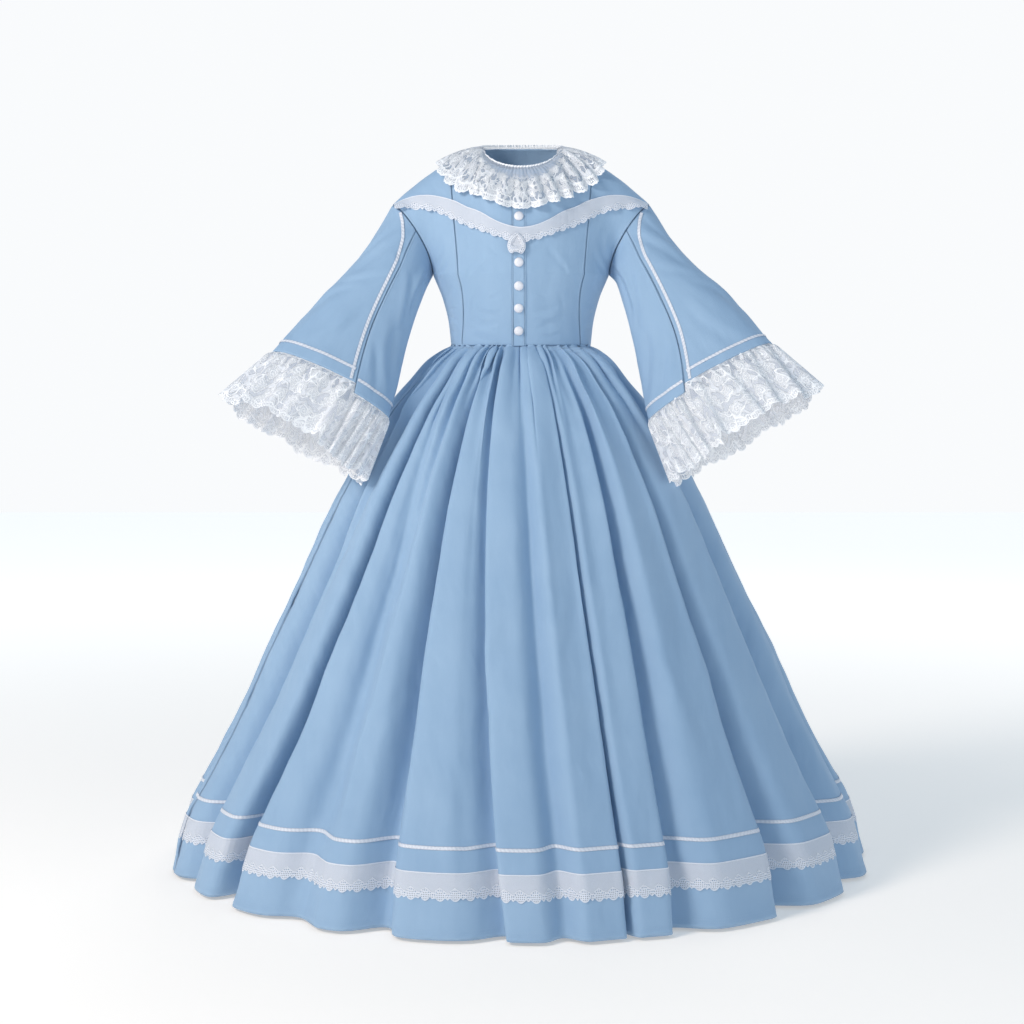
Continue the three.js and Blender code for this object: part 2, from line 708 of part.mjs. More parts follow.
function makeCuffLace(sleeve) {
  const columns = (3 * CUFF_WAVES) / 2;
  SLEEVE_HALVES.forEach(([half, first]) => {
    const lines = spread(first + CUFF_LACE_END, first + HALF_LINES - CUFF_LACE_END, columns);
    const ordered = sleeve.side > 0 ? lines : lines.reverse();
    const rows = [1, 0.5, 0];
    const onUpper = half === 'upper';
    const place = (line, drop) => cuffLacePoint(sleeve, line, drop, onUpper);
    const points = rows.flatMap((drop) => ordered.map((line) => place(line, drop)));
    const faces = sheetFaces(rows.map(() => ordered.length), false);
    const lace = wall(points, meshNormals(points, faces), faces, -LACE / 2, LACE / 2);
    add(`cuff_lace_${half}_${sleeve.name}`, lace, WHITE_LACE);
  });
}

// Gathered lace collar. `turn` is in degrees from the centre front towards the wearer's left;
// `out` runs from the top of the upright frill (-1) over the neck seam (0) to the edge (1).
function collarPoint(turn, out) {
  const whole = ((turn % 360) + 360) % 360;
  const sign = whole > 180 ? -1 : 1;
  const half = sign > 0 ? whole : 360 - whole;
  const facing = half <= 90 ? -1 : 1;
  const quarter = half <= 90 ? half : 180 - half;
  const spreadOut = Math.max(out, 0);
  const share = mix((NECK_SHARE * quarter) / 90, COLLAR_SIDE_SHARE * Math.sin(radians(quarter)), spreadOut);
  const up = 2 - COLLAR_FRONT_UP * Math.cos(radians(quarter)) * spreadOut;
  const surface = facing < 0 ? bodiceFront : bodiceBack;
  const across = -facing * sign * share;
  const base = surface(across, up);
  const normal = normalAt(surface, across, Math.min(up, 1.99), BODICE_STEPS);
  const wave = Math.cos(radians(COLLAR_WAVES * turn));
  const rise = mix(COLLAR_SEAM_LIFT, COLLAR_LIFT, spreadOut ** COLLAR_LIFT_BEND);
  const lift = rise + COLLAR_SWING * wave * Math.min(COLLAR_WAVE_GROWTH * spreadOut, 1);
  const head = Math.max(-out, 0);
  const outward = new THREE.Vector3(Math.sin(radians(turn)), -Math.cos(radians(turn)), 0);
  return base
    .addScaledVector(normal, lift)
    .add(new THREE.Vector3(0, 0, COLLAR_HEAD * head))
    .addScaledVector(outward, FRILL_SWING * head * wave);
}

function makeCollar() {
  const columns = 3 * COLLAR_WAVES;
  const turns = range(columns).map((i) => (360 * i) / columns);
  const rows = COLLAR_ROWS;
  const points = rows.flatMap((out) => turns.map((turn) => collarPoint(turn, out)));
  const faces = sheetFaces(rows.map(() => columns), true);
  add('collar_lace', wall(points, meshNormals(points, faces), faces, 0, LACE), WHITE_LACE);
}

// V-shaped eyelet trim on the bodice
function vTrim(name, table, surface, from, to, columns) {
  const rows = [0, 0.5, 1].map((height) =>
    spread(from, to, columns).map((across) => {
      const share = Math.abs(across);
      const low = read(table, 'share', 'low', share);
      return [across, mix(low, read(table, 'share', 'high', share), height)];
    }),
  );
  const lifted = (across, up) => {
    const point = surface(across, up);
    const offCentre = Math.abs(point.x - BUTTON_X) - V_STAND_HALF;
    const frontLift = mix(V_LIFT_AT_STAND, V_LIFT, ease(offCentre / V_LIFT_BLEND));
    const lift = point.y < 0 ? frontLift : V_LIFT_BACK;
    return point.addScaledVector(normalAt(surface, across, up, BODICE_STEPS), lift);
  };
  panel(name, { surface: lifted, steps: BODICE_STEPS, rows, material: EYELET, low: 0, high: TRIM });
}

function makeVTrims() {
  vTrim('v_trim_front_right', V_FRONT, bodiceFront, -V_SIDE, -V_CENTRE, 13);
  vTrim('v_trim_front_left', V_FRONT, bodiceFront, V_CENTRE, V_SIDE, 13);
  vTrim('v_trim_back', V_BACK, bodiceBack, -V_SIDE, V_SIDE, 28);
}

// Folded loop that hangs at the point of the V, pointed above and round below
function dropOutline(width, height, steps) {
  const radius = width / 2;
  const centre = -(height - radius);
  const tangent = Math.acos(radius / (height - radius));
  const round = spread(Math.PI / 2 + tangent, 2.5 * Math.PI - tangent, steps);
  return [
    new THREE.Vector2(0, 0),
    ...round.map((angle) => new THREE.Vector2(radius * Math.cos(angle), centre + radius * Math.sin(angle))),
  ];
}

function makeLoop() {
  const shape = new THREE.Shape(dropOutline(LOOP_WIDTH, LOOP_HEIGHT, LOOP_ARC_STEPS));
  const edge = 0.8 * LOOP_WALL;
  const hole = dropOutline(LOOP_WIDTH - 2 * LOOP_WALL, LOOP_HEIGHT - 2 * edge, LOOP_ARC_STEPS);
  const lowered = hole.map((p) => new THREE.Vector2(p.x, p.y - edge));
  shape.holes.push(new THREE.Path(lowered));
  const geometry = new THREE.ExtrudeGeometry(shape, { depth: LOOP_DEPTH, bevelEnabled: false });
  const mesh = add('v_loop', geometry, EYELET);
  const seat = bodiceFront(acrossAt(LOOP_X, LOOP_UP), LOOP_UP);
  const clear = V_LIFT_AT_STAND + TRIM + LOOP_CLEAR;
  mesh.rotation.x = Math.PI / 2;
  mesh.position.set(LOOP_X, seat.y - clear, LOOP_TOP_Z);
}

// Domed buttons on the button stand
function standSeat(z) {
  const corner = (row, edge) => {
    const up = rowUp(BODICE_ROWS[row]);
    return bodiceFront(edge(up), up);
  };
  const middle = (row) => mixPoint(corner(row, standLeft), corner(row, standRight), 0.5);
  const row = range(BODICE_ROWS.length - 1).find((r) => middle(r + 1).z >= z);
  const f = (z - middle(row).z) / (middle(row + 1).z - middle(row).z);
  const right = corner(row, standRight).sub(corner(row, standLeft));
  const up = middle(row + 1).sub(middle(row));
  return { point: mixPoint(middle(row), middle(row + 1), f), normal: right.cross(up).normalize() };
}

function makeButtons() {
  const r = BUTTON_RADIUS;
  const h = BUTTON_HEIGHT;
  const profile = [[0, 0], [0.85 * r, 0], [r, 0.3 * h], [0.72 * r, 0.8 * h], [0, h]];
  const dome = new THREE.LatheGeometry(profile.map(([x, y]) => new THREE.Vector2(x, y)), 12);
  BUTTON_Z.forEach((z, i) => {
    const seat = standSeat(z);
    const mesh = add(`button_${i + 1}`, dome, BUTTON_WHITE);
    mesh.quaternion.setFromUnitVectors(new THREE.Vector3(0, 1, 0), seat.normal);
    mesh.position.copy(seat.point).addScaledVector(seat.normal, SEAM + CLOTH + 2 * SEAM);
  });
}

makeBodice();
makeSkirt();
SLEEVES.forEach((sleeve) => {
  makeSleeve(sleeve);
  makeSleeveRibbons(sleeve);
  makeCuffLace(sleeve);
});
makeCollar();
makeVTrims();
makeLoop();
makeButtons();

export default gown;
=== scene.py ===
# %% [markdown]
# # An evening gown, cell by cell
# The gown is light-blue cotton cloth with white lace and eyelet edging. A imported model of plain
# solids gives its places and sizes. This script dresses that model: every solid of cloth is
# replaced by a finer sheet on the same surface, with its own weave, folds and seams.

# %% Load the fixed frame
import math

import bpy
import numpy as np
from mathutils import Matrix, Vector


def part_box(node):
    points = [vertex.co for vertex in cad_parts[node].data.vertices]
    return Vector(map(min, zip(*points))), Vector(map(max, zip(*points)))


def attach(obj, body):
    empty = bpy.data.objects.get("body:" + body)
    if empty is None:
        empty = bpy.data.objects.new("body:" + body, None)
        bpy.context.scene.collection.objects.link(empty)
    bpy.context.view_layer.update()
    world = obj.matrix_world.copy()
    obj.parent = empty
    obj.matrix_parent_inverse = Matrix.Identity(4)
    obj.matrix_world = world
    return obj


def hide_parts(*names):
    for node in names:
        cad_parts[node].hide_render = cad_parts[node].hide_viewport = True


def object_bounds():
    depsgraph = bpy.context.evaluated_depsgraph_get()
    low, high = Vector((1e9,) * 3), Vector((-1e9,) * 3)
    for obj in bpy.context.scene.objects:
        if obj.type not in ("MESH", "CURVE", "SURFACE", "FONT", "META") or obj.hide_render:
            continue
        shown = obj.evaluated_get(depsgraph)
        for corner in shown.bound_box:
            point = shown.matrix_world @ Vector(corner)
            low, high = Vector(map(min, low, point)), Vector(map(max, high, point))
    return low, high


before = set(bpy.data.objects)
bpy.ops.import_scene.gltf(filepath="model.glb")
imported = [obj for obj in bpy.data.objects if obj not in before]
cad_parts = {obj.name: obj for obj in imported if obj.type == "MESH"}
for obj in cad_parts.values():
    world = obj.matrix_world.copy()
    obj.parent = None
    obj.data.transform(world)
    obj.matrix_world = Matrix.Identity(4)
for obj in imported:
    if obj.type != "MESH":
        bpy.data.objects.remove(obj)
cad_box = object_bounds()
print("solids in the frame:", len(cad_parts))

# %% [markdown]
# ## Where the camera stands
# The gown was photographed from the height of its waist, a little over four metres away. The
# camera tilts down a few degrees instead of shifting its lens, so that other views stay simple.

# %% Camera
WAIST_Z = -385.0
CAMERA_DISTANCE = 4.312
CAMERA_SIDE = -0.0176
CAMERA_TILT = math.radians(4.315)
CAMERA_LENS = 77.34

camera = bpy.data.objects.new("Camera", bpy.data.cameras.new("Camera"))
camera.data.lens = CAMERA_LENS
camera.data.sensor_width = 36.0
camera.location = (CAMERA_SIDE, -CAMERA_DISTANCE, WAIST_Z / 1000)
camera.rotation_euler = (math.radians(90) - CAMERA_TILT, 0, 0)
bpy.context.collection.objects.link(camera)
bpy.context.scene.camera = camera

# %% [markdown]
# ## Tables and smooth curves
# A pattern cutter works from a few measures and draws smooth curves through them. `read` does
# the same: it reads one column of a table between its rows and never overshoots them.


# %% Table reader
def read(table, key, column, at):
    keys = np.array([row[key] for row in table], float)
    values = np.array([row[column] for row in table], float)
    at = np.clip(np.asarray(at, float), keys[0], keys[-1])
    slopes = np.diff(values) / np.diff(keys)
    tangents = np.zeros_like(values)
    tangents[0], tangents[-1] = slopes[0], slopes[-1]
    same = slopes[:-1] * slopes[1:] > 0
    both = np.where(same, slopes[:-1] + slopes[1:], 1)
    tangents[1:-1] = np.where(same, 2 * slopes[:-1] * slopes[1:] / both, 0)
    i = np.clip(np.searchsorted(keys, at, side="right") - 1, 0, len(keys) - 2)
    width = keys[i + 1] - keys[i]
    f = (at - keys[i]) / width
    f2, f3 = f * f, f * f * f
    return (
        (2 * f3 - 3 * f2 + 1) * values[i]
        + (f3 - 2 * f2 + f) * width * tangents[i]
        + (3 * f2 - 2 * f3) * values[i + 1]
        + (f3 - f2) * width * tangents[i + 1]
    )


def mix(a, b, f):
    return a + (b - a) * f


def ease(f):
    c = np.clip(f, 0, 1)
    return c * c * (3 - 2 * c)


def bell(x, width):
    """1 at the middle, falling smoothly to nothing on both sides."""
    return np.exp(-((x / width) ** 2))


def stack(x, y, z):
    return np.stack(np.broadcast_arrays(x, y, z), axis=-1)


def unit(v):
    return v / np.maximum(np.linalg.norm(v, axis=-1, keepdims=True), 1e-9)


# %% [markdown]
# ## Materials from nodes
# Each finish is a small node tree. A helper adds a node, sets its plain inputs and links the
# others, so that a material reads like a recipe. The pattern nodes read a `cloth` attribute that
# every sheet carries: metres along the cloth, metres up the cloth, and a spare value.


# %% Node helper
class Nodes:
    """A node tree to which nodes are added one by one."""

    def __init__(self, tree):
        self.tree = tree

    def add(self, kind, settings=None, **inputs):
        made = self.tree.nodes.new(kind)
        for name, value in (settings or {}).items():
            setattr(made, name, value)
        for name, value in inputs.items():
            numbered = name[0] == "i" and name[1:].isdigit()
            key = int(name[1:]) if numbered else name.replace("_", " ")
            self.put(made.inputs[key], value)
        return made

    def put(self, socket, value):
        if isinstance(value, bpy.types.NodeSocket):
            self.tree.links.new(value, socket)
        else:
            socket.default_value = value

    def math(self, operation, a, b=0.0, c=0.0):
        made = self.add("ShaderNodeMath", {"operation": operation}, i0=a, i1=b, i2=c)
        return made.outputs[0]

    def times(self, a, b):
        return self.math("MULTIPLY", a, b)

    def most(self, a, b):
        return self.math("MAXIMUM", a, b)

    def minus(self, a, b):
        return self.math("SUBTRACT", a, b)

    def scaled(self, value, factor, added):
        return self.math("MULTIPLY_ADD", value, factor, added)

    def size(self, value):
        return self.math("ABSOLUTE", value)

    def wave(self, value):
        return self.math("SINE", value)

    def below(self, value, limit, soft):
        """1 where value is under the limit, 0 above it, over a soft edge."""
        span = self.add("ShaderNodeMapRange", {"interpolation_type": "SMOOTHSTEP"}, Value=value)
        self.put(span.inputs["From Min"], self.minus(limit, soft))
        self.put(span.inputs["From Max"], self.math("ADD", limit, soft))
        span.inputs["To Min"].default_value = 1
        span.inputs["To Max"].default_value = 0
        return span.outputs["Result"]

    def blend(self, f, a, b):
        made = self.add("ShaderNodeMix", {"data_type": "RGBA"})
        self.put(made.inputs[0], f)
        self.put(made.inputs[6], a)
        self.put(made.inputs[7], b)
        return made.outputs[2]

    def bump(self, height, distance, strength=1.0, normal=None):
        made = self.add("ShaderNodeBump", Height=height, Distance=distance, Strength=strength)
        if normal is not None:
            self.put(made.inputs["Normal"], normal)
        return made.outputs["Normal"]


class Recipe(Nodes):
    """A material, built node by node."""

    def __init__(self, name):
        self.material = bpy.data.materials.new(name)
        self.material.use_nodes = True
        super().__init__(self.material.node_tree)
        self.shader = self.tree.nodes["Principled BSDF"]

    def cloth(self):
        made = self.add("ShaderNodeAttribute", {"attribute_name": "cloth"})
        parts = self.add("ShaderNodeSeparateXYZ", Vector=made.outputs["Vector"])
        return made.outputs["Vector"], parts.outputs[0], parts.outputs[1], parts.outputs[2]

    def finish(self, **values):
        for name, value in values.items():
            self.put(self.shader.inputs[name.replace("_", " ")], value)
        return self.material

# %% [markdown]
# ## A pale studio
# Cloth shows its folds best under one large soft light from the side and a weaker one to fill
# the shadows. The world is nearly white round the horizon and a dim blue overhead, so that the
# folds keep their shadows in front of a pale background. The key is a little warm, because blue
# cloth in a white room has bluer shadows than lights.

# %% Studio
HORIZON, DOME = (0.95, 0.965, 0.98, 1), (0.145, 0.25, 0.36, 1)
PALE_UP_TO, DOME_FROM = 0.17, 0.32
LIGHT_AIM = (0, 0, -0.7)
LIGHTS = {
    "Key": {"at": (-3.3, -2.8, 2.1), "size": 1.4, "power": 142, "colour": (1.0, 0.93, 0.865)},
    "Fill": {"at": (3.4, -2.6, 0.2), "size": 2.6, "power": 14, "colour": (0.78, 0.90, 1.0)},
    "Rim": {"at": (1.2, 3.2, 2.4), "size": 2.0, "power": 30, "colour": (1, 1, 1)},
}


def area_light(name, at, size, power, colour):
    light = bpy.data.lights.new(name, "AREA")
    light.color = colour
    light.size = size
    light.energy = power
    lamp = bpy.data.objects.new(name, light)
    lamp.location = at
    aim = np.array(LIGHT_AIM) - np.array(at)
    flat = math.hypot(aim[0], aim[1])
    turn = math.atan2(aim[1], aim[0]) - math.pi / 2
    lamp.rotation_euler = (math.atan2(flat, -aim[2]), 0, turn)
    bpy.context.collection.objects.link(lamp)


for name, setting in LIGHTS.items():
    area_light(name, **setting)

world = bpy.data.worlds.new("Studio")
world.use_nodes = True
air = Nodes(world.node_tree)
direction = air.add("ShaderNodeTexCoord")
height = air.add("ShaderNodeSeparateXYZ", Vector=direction.outputs["Generated"])
away = air.size(height.outputs["Z"])
band = air.add(
    "ShaderNodeMapRange", {"interpolation_type": "SMOOTHSTEP"}, Value=away,
    From_Min=PALE_UP_TO, From_Max=DOME_FROM,
)
air.put(world.node_tree.nodes["Background"].inputs["Color"],
        air.blend(band.outputs["Result"], HORIZON, DOME))
bpy.context.scene.world = world
bpy.context.scene.view_settings.view_transform = "Standard"
print("lights:", list(LIGHTS))

# %% [markdown]
# ## The blue cotton
# The cloth is a plain weave with a soft, slightly silky face. Two crossed waves make the threads,
# a stretched noise makes the slubs, and a large noise shifts the colour a little, as dye does.

# %% Blue cloth
CLOTH_BLUE = (0.290, 0.440, 0.625, 1)
CLOTH_PALE = (0.340, 0.492, 0.670, 1)
CLOTH_WORN = (0.43, 0.58, 0.74, 1)
# Painted shade: the dark colour the cloth takes in its seams and along stitching lines.
CLOTH_PAINTED_SHADE = (0.10, 0.19, 0.34, 1)
THREADS_PER_METRE = 1900


def blue_cloth():
    look = Recipe("blue_cotton")
    vector, along, up, wear_and_painted_shade = look.cloth()
    warp = look.wave(look.times(along, THREADS_PER_METRE * math.pi))
    weft = look.wave(look.times(up, THREADS_PER_METRE * math.pi))
    weave = look.times(warp, weft)
    stretch = look.add("ShaderNodeMapping", Vector=vector, Scale=(900, 60, 1))
    slub = look.add("ShaderNodeTexNoise", Vector=stretch.outputs[0], Scale=1.0, Detail=2.0)
    dye = look.add("ShaderNodeTexNoise", Vector=vector, Scale=7.0, Detail=4.0, Roughness=0.6)
    tone = look.scaled(dye.outputs["Fac"], 1.6, -0.35)
    tone = look.scaled(slub.outputs["Fac"], 0.35, tone)
    colour = look.blend(tone, CLOTH_BLUE, CLOTH_PALE)
    # The spare value lightens the cloth where it wears, and its negative part paints shade into
    # seams and stitching lines.
    colour = look.blend(look.most(wear_and_painted_shade, 0.0), colour, CLOTH_WORN)
    colour = look.blend(look.most(look.times(wear_and_painted_shade, -1.0), 0.0), colour, CLOTH_PAINTED_SHADE)
    rough = look.scaled(slub.outputs["Fac"], 0.12, 0.66)
    fine = look.bump(weave, 0.00006, 0.5)
    uneven = look.bump(slub.outputs["Fac"], 0.0003, 0.35, fine)
    drawn = look.add("ShaderNodeMapping", Vector=vector, Scale=(13, 4.5, 1))
    drawn.inputs["Rotation"].default_value = (0, 0, 0.25)
    creases = look.add("ShaderNodeTexNoise", Vector=drawn.outputs[0], Scale=1.0, Detail=2.5)
    uneven = look.bump(creases.outputs["Fac"], 0.010, 0.9, uneven)
    return look.finish(
        Base_Color=colour, Roughness=rough, Normal=uneven, Sheen_Weight=0.22,
        Sheen_Roughness=0.45, Sheen_Tint=(0.80, 0.90, 1.0, 1), Specular_IOR_Level=0.32,
    )


BLUE = blue_cloth()

# %% [markdown]
# ## Satin ribbon
# The ribbons are woven polyester satin: smooth, bright along the thread, with a firm selvedge on
# both edges. The weave is much finer than the cotton's, so only a faint cross grain shows.

# %% Satin
SATIN_WHITE = (0.80, 0.82, 0.88, 1)
# The colour towards the ribbon's edges, also used as painted shade in the dips of its crimp.
SATIN_EDGE_AND_SHADE = (0.56, 0.60, 0.70, 1)


def satin_ribbon():
    look = Recipe("white_satin")
    vector, along, up, edge = look.cloth()
    grain = look.add("ShaderNodeTexNoise", Vector=vector, Scale=2600.0, Detail=1.0)
    waves = look.add("ShaderNodeTexNoise", Vector=vector, Scale=45.0, Detail=2.0)
    # Darker towards the edges, and painted shade in the crimp's dips.
    colour = look.blend(edge, SATIN_WHITE, SATIN_EDGE_AND_SHADE)
    rough = look.scaled(waves.outputs["Fac"], 0.25, 0.22)
    fine = look.bump(grain.outputs["Fac"], 0.00008, 0.4)
    soft = look.bump(waves.outputs["Fac"], 0.0006, 0.5, fine)
    return look.finish(
        Base_Color=colour, Roughness=rough, Normal=soft, Sheen_Weight=0.1, Specular_IOR_Level=0.6,
    )


SATIN = satin_ribbon()

# %% [markdown]
# ## Net lace with flowers
# The lace is a fine net with flowers worked into it in thicker thread. Cells of a Voronoi texture
# give the net, and a second, larger set of cells each holds one flower: the angle round the
# cell's middle makes its petals. Leaves and curling stems fill the ground, and a close border runs
# along the scalloped edge. The motif is a plain flower of five or six petals, repeated by rule.

# %% Lace
THREAD_WHITE = (0.92, 0.93, 0.95, 1)
THREAD_SHADE = (0.64, 0.67, 0.74, 1)
# Painted light: the lace glows a little, in place of light passing through its thin threads.
LACE_PAINTED_GLOW = 0.07
NET_CELL = 0.0026
LACE_EDGE = 0.011


class Lace(Recipe):
    """A net with scroll roses, leaves and stems, and a worked border along its edge."""

    def cord(self, value, middle, half, soft):
        return self.below(self.size(self.minus(value, middle)), half, soft)

    def cells(self, vector, size, randomness, feature="F1"):
        return self.add(
            "ShaderNodeTexVoronoi", {"feature": feature, "voronoi_dimensions": "2D"},
            Vector=vector, Scale=1 / size, Randomness=randomness,
        )

    def union(self, *parts):
        made = parts[0]
        for part in parts[1:]:
            made = self.most(made, part)
        return made

    def rose(self, vector, size, petals):
        """Returns the body, the cords and the gaps of a scroll rose in every cell."""
        cell = self.cells(vector, size, 0.55)
        radius = cell.outputs["Distance"]
        offset = self.add(
            "ShaderNodeVectorMath", {"operation": "SUBTRACT"},
            i0=vector, i1=cell.outputs["Position"],
        )
        local = self.add("ShaderNodeSeparateXYZ", Vector=offset.outputs[0])
        own = self.add("ShaderNodeSeparateXYZ", Vector=cell.outputs["Color"])
        angle = self.math("ARCTAN2", local.outputs[1], local.outputs[0])
        angle = self.scaled(own.outputs[0], 6.28, angle)
        turns = self.scaled(angle, 1 / (2 * math.pi), self.times(radius, 7.0))
        spiral = self.math("FRACT", turns)
        heart = self.below(radius, 0.27, 0.012)
        scroll = self.times(self.cord(spiral, 0.5, 0.2, 0.08), heart)
        lobes = self.size(self.wave(self.times(angle, petals / 2)))
        reach = self.scaled(self.math("SQRT", lobes), 0.10, 0.33)
        body = self.below(radius, reach, 0.015)
        outline = self.cord(self.minus(radius, reach), 0.0, 0.024, 0.012)
        veins = self.size(self.wave(self.times(angle, petals * 1.5)))
        ring = self.times(body, self.minus(1.0, heart))
        gaps = self.times(self.below(veins, 0.30, 0.1), ring)
        gaps = self.most(gaps, self.times(self.cord(spiral, 0.0, 0.16, 0.08), heart))
        return body, self.union(scroll, outline, self.cord(radius, 0.275, 0.018, 0.01)), gaps

# %% Lace finish
def lace(name, rose_size, net_share, petals, ground, open_from):
    look = Lace(name)
    vector, along, up, spare = look.cloth()
    net = look.cells(vector, NET_CELL, 0.35, "DISTANCE_TO_EDGE")
    net_mask = look.below(net.outputs["Distance"], net_share, 0.04)
    body, cords, gaps = look.rose(vector, rose_size, petals)
    noise = {"noise_dimensions": "2D"}
    stems = look.add("ShaderNodeTexNoise", noise, Vector=vector, Scale=1.1 / rose_size, Detail=0.4)
    stem = look.cord(stems.outputs["Fac"], 0.5, 0.026, 0.01)
    leaves = look.add("ShaderNodeTexNoise", noise, Vector=vector, Scale=2.3 / rose_size, Detail=0.0)
    leaf = look.below(0.57, leaves.outputs["Fac"], 0.02)
    leaf_cord = look.cord(leaves.outputs["Fac"], 0.57, 0.022, 0.01)
    worked = look.below(up, open_from, 0.010)
    body = look.times(look.union(body, leaf), worked)
    cords = look.times(look.union(cords, stem, leaf_cord), worked)
    edge_row = look.below(up, 0.0030, 0.0006)
    inner_row = look.cord(up, LACE_EDGE, 0.0012, 0.0005)
    dots = look.cells(vector, 0.0045, 0.15)
    dot = look.below(dots.outputs["Distance"], 0.36, 0.05)
    dot = look.times(dot, look.below(up, LACE_EDGE, 0.001))
    heading = look.below(spare, 0.0035, 0.0008)
    firm = look.union(cords, edge_row, inner_row, dot, heading)
    cloth = look.times(body, look.scaled(gaps, -0.45, 0.92))
    alpha = look.union(firm, cloth, look.times(net_mask, ground))
    height = look.scaled(firm, 0.6, look.times(body, 0.4))
    colour = look.blend(look.most(firm, look.times(body, 0.45)), THREAD_SHADE, THREAD_WHITE)
    return look.finish(
        Base_Color=colour, Roughness=look.scaled(firm, -0.15, 0.8), Alpha=alpha,
        Normal=look.bump(height, 0.0016, 0.9), Sheen_Weight=0.2, Sheen_Roughness=0.5,
        # Painted light: a faint white glow stands in for light shining through the lace.
        Emission_Color=THREAD_WHITE, Emission_Strength=LACE_PAINTED_GLOW,
    )


CUFF_LACE = lace("cuff_lace", 0.033, 0.30, 6, 0.84, 1.0)
COLLAR_LACE = lace("collar_lace", 0.024, 0.24, 5, 0.66, 0.070)

# %% [markdown]
# ## Eyelet edging
# The edging is thin white batiste. Its lower edge is worked with a scalloped border: a corded
# outline, a lattice inside each scallop and a zigzag of small eyelets above. The plain part is
# sheer, so some of the blue shows through it.

# %% Eyelet edging
BATISTE = (0.78, 0.81, 0.88, 1)
SCALLOP, TRIM_SCALLOP = 0.026, 7.0
V_SCALLOP, V_SCALLOP_DEPTH = 25.0, 5.5
EYELET_SPACING, LATTICE_CELL = 0.0034, 0.0032


def eyelet(name, period, peak, dip):
    """Worked cloth lies under a zigzag that rises to the peak in the middle of each scallop."""
    look = Recipe(name)
    vector, along, up, spare = look.cloth()
    cell = look.minus(look.math("FRACT", look.math("DIVIDE", along, period)), 0.33)
    side = look.size(cell)
    zigzag = look.most(look.scaled(side, -2 * (peak - dip), peak), dip)
    over = look.minus(up, zigzag)
    worked = look.below(over, 0.0, 0.0008)
    edge = look.below(spare, 0.0022, 0.0005)
    line = look.below(look.size(over), 0.0011, 0.0004)
    eyelets = look.add(
        "ShaderNodeTexVoronoi", {"voronoi_dimensions": "2D"},
        Vector=vector, Scale=1 / EYELET_SPACING, Randomness=0.0,
    )
    near_line = look.below(look.size(look.math("ADD", over, 0.003)), 0.0018, 0.0003)
    hole = look.times(look.below(eyelets.outputs["Distance"], 0.30, 0.05), near_line)
    lattice = look.add(
        "ShaderNodeTexVoronoi", {"feature": "DISTANCE_TO_EDGE", "voronoi_dimensions": "2D"},
        Vector=vector, Scale=1 / LATTICE_CELL, Randomness=0.2,
    )
    open_net = look.minus(1.0, look.below(lattice.outputs["Distance"], 0.20, 0.05))
    open_net = look.times(open_net, look.below(over, -0.0055, 0.0006))
    open_net = look.times(open_net, look.minus(1.0, edge))
    thread = look.add("ShaderNodeTexNoise", Vector=vector, Scale=1500.0, Detail=1.0)
    sheer = look.scaled(thread.outputs["Fac"], 0.25, 0.62)
    firm = worked
    for part in (edge, line):
        firm = look.most(firm, part)
    alpha = look.most(sheer, firm)
    alpha = look.minus(alpha, look.times(hole, 0.95))
    alpha = look.minus(alpha, look.times(open_net, 0.55))
    cords = look.most(edge, line)
    raised = look.bump(cords, 0.0008, 0.8)
    raised = look.bump(thread.outputs["Fac"], 0.0001, 0.4, raised)
    return look.finish(
        Base_Color=BATISTE, Roughness=0.72, Alpha=alpha, Normal=raised, Sheen_Weight=0.2,
    )


HEM_EYELET = eyelet("hem_eyelet", SCALLOP, 0.0215, 0.013)
V_EYELET = eyelet("v_eyelet", V_SCALLOP / 1000, 0.0165, 0.0095)

# %% [markdown]
# ## From a grid of points to a piece of cloth
# A cut piece of cloth is a grid that runs up and across, bent over the body. `cloth_piece` takes
# such a grid, gives it a second face on the inside and joins both along the edges, so that the
# piece has a real thickness and a rolled edge. It also measures the grid, because a weave has to
# follow the cloth and not the room: those lengths become the `cloth` attribute.

# %% Grid to cloth
MM = 0.001
CLOTH_WALL = 0.8
FACES = {}


def grid_normals(grid):
    right = np.gradient(grid, axis=1)
    up = np.gradient(grid, axis=0)
    return unit(np.cross(right, up))


def laid_flat(grid):
    """Lengths along each row from its middle and up each column."""
    steps = np.linalg.norm(np.diff(grid, axis=1), axis=2)
    along = np.concatenate([np.zeros((len(grid), 1)), np.cumsum(steps, axis=1)], axis=1)
    along -= along[:, -1:] / 2
    rises = np.linalg.norm(np.diff(grid, axis=0), axis=2)
    up = np.concatenate([np.zeros((1, grid.shape[1])), np.cumsum(rises, axis=0)], axis=0)
    return along, up


def cloth_values(along, up, spare):
    """The three values of the cloth attribute: two lengths in metres and a spare one."""
    return stack(along * MM, up * MM, spare)


def metres(length):
    return round(float(length * MM), 3)


def grid_area(grid):
    across = grid[1:, 1:] - grid[:-1, :-1]
    other = grid[1:, :-1] - grid[:-1, 1:]
    return float(np.linalg.norm(np.cross(across, other), axis=2).sum() / 2)


def quads(rows, columns, start=0, flip=False):
    index = np.arange(rows * columns).reshape(rows, columns) + start
    faces = np.stack([index[:-1, :-1], index[:-1, 1:], index[1:, 1:], index[1:, :-1]], axis=-1)
    faces = faces.reshape(-1, 4)
    return faces[:, ::-1] if flip else faces

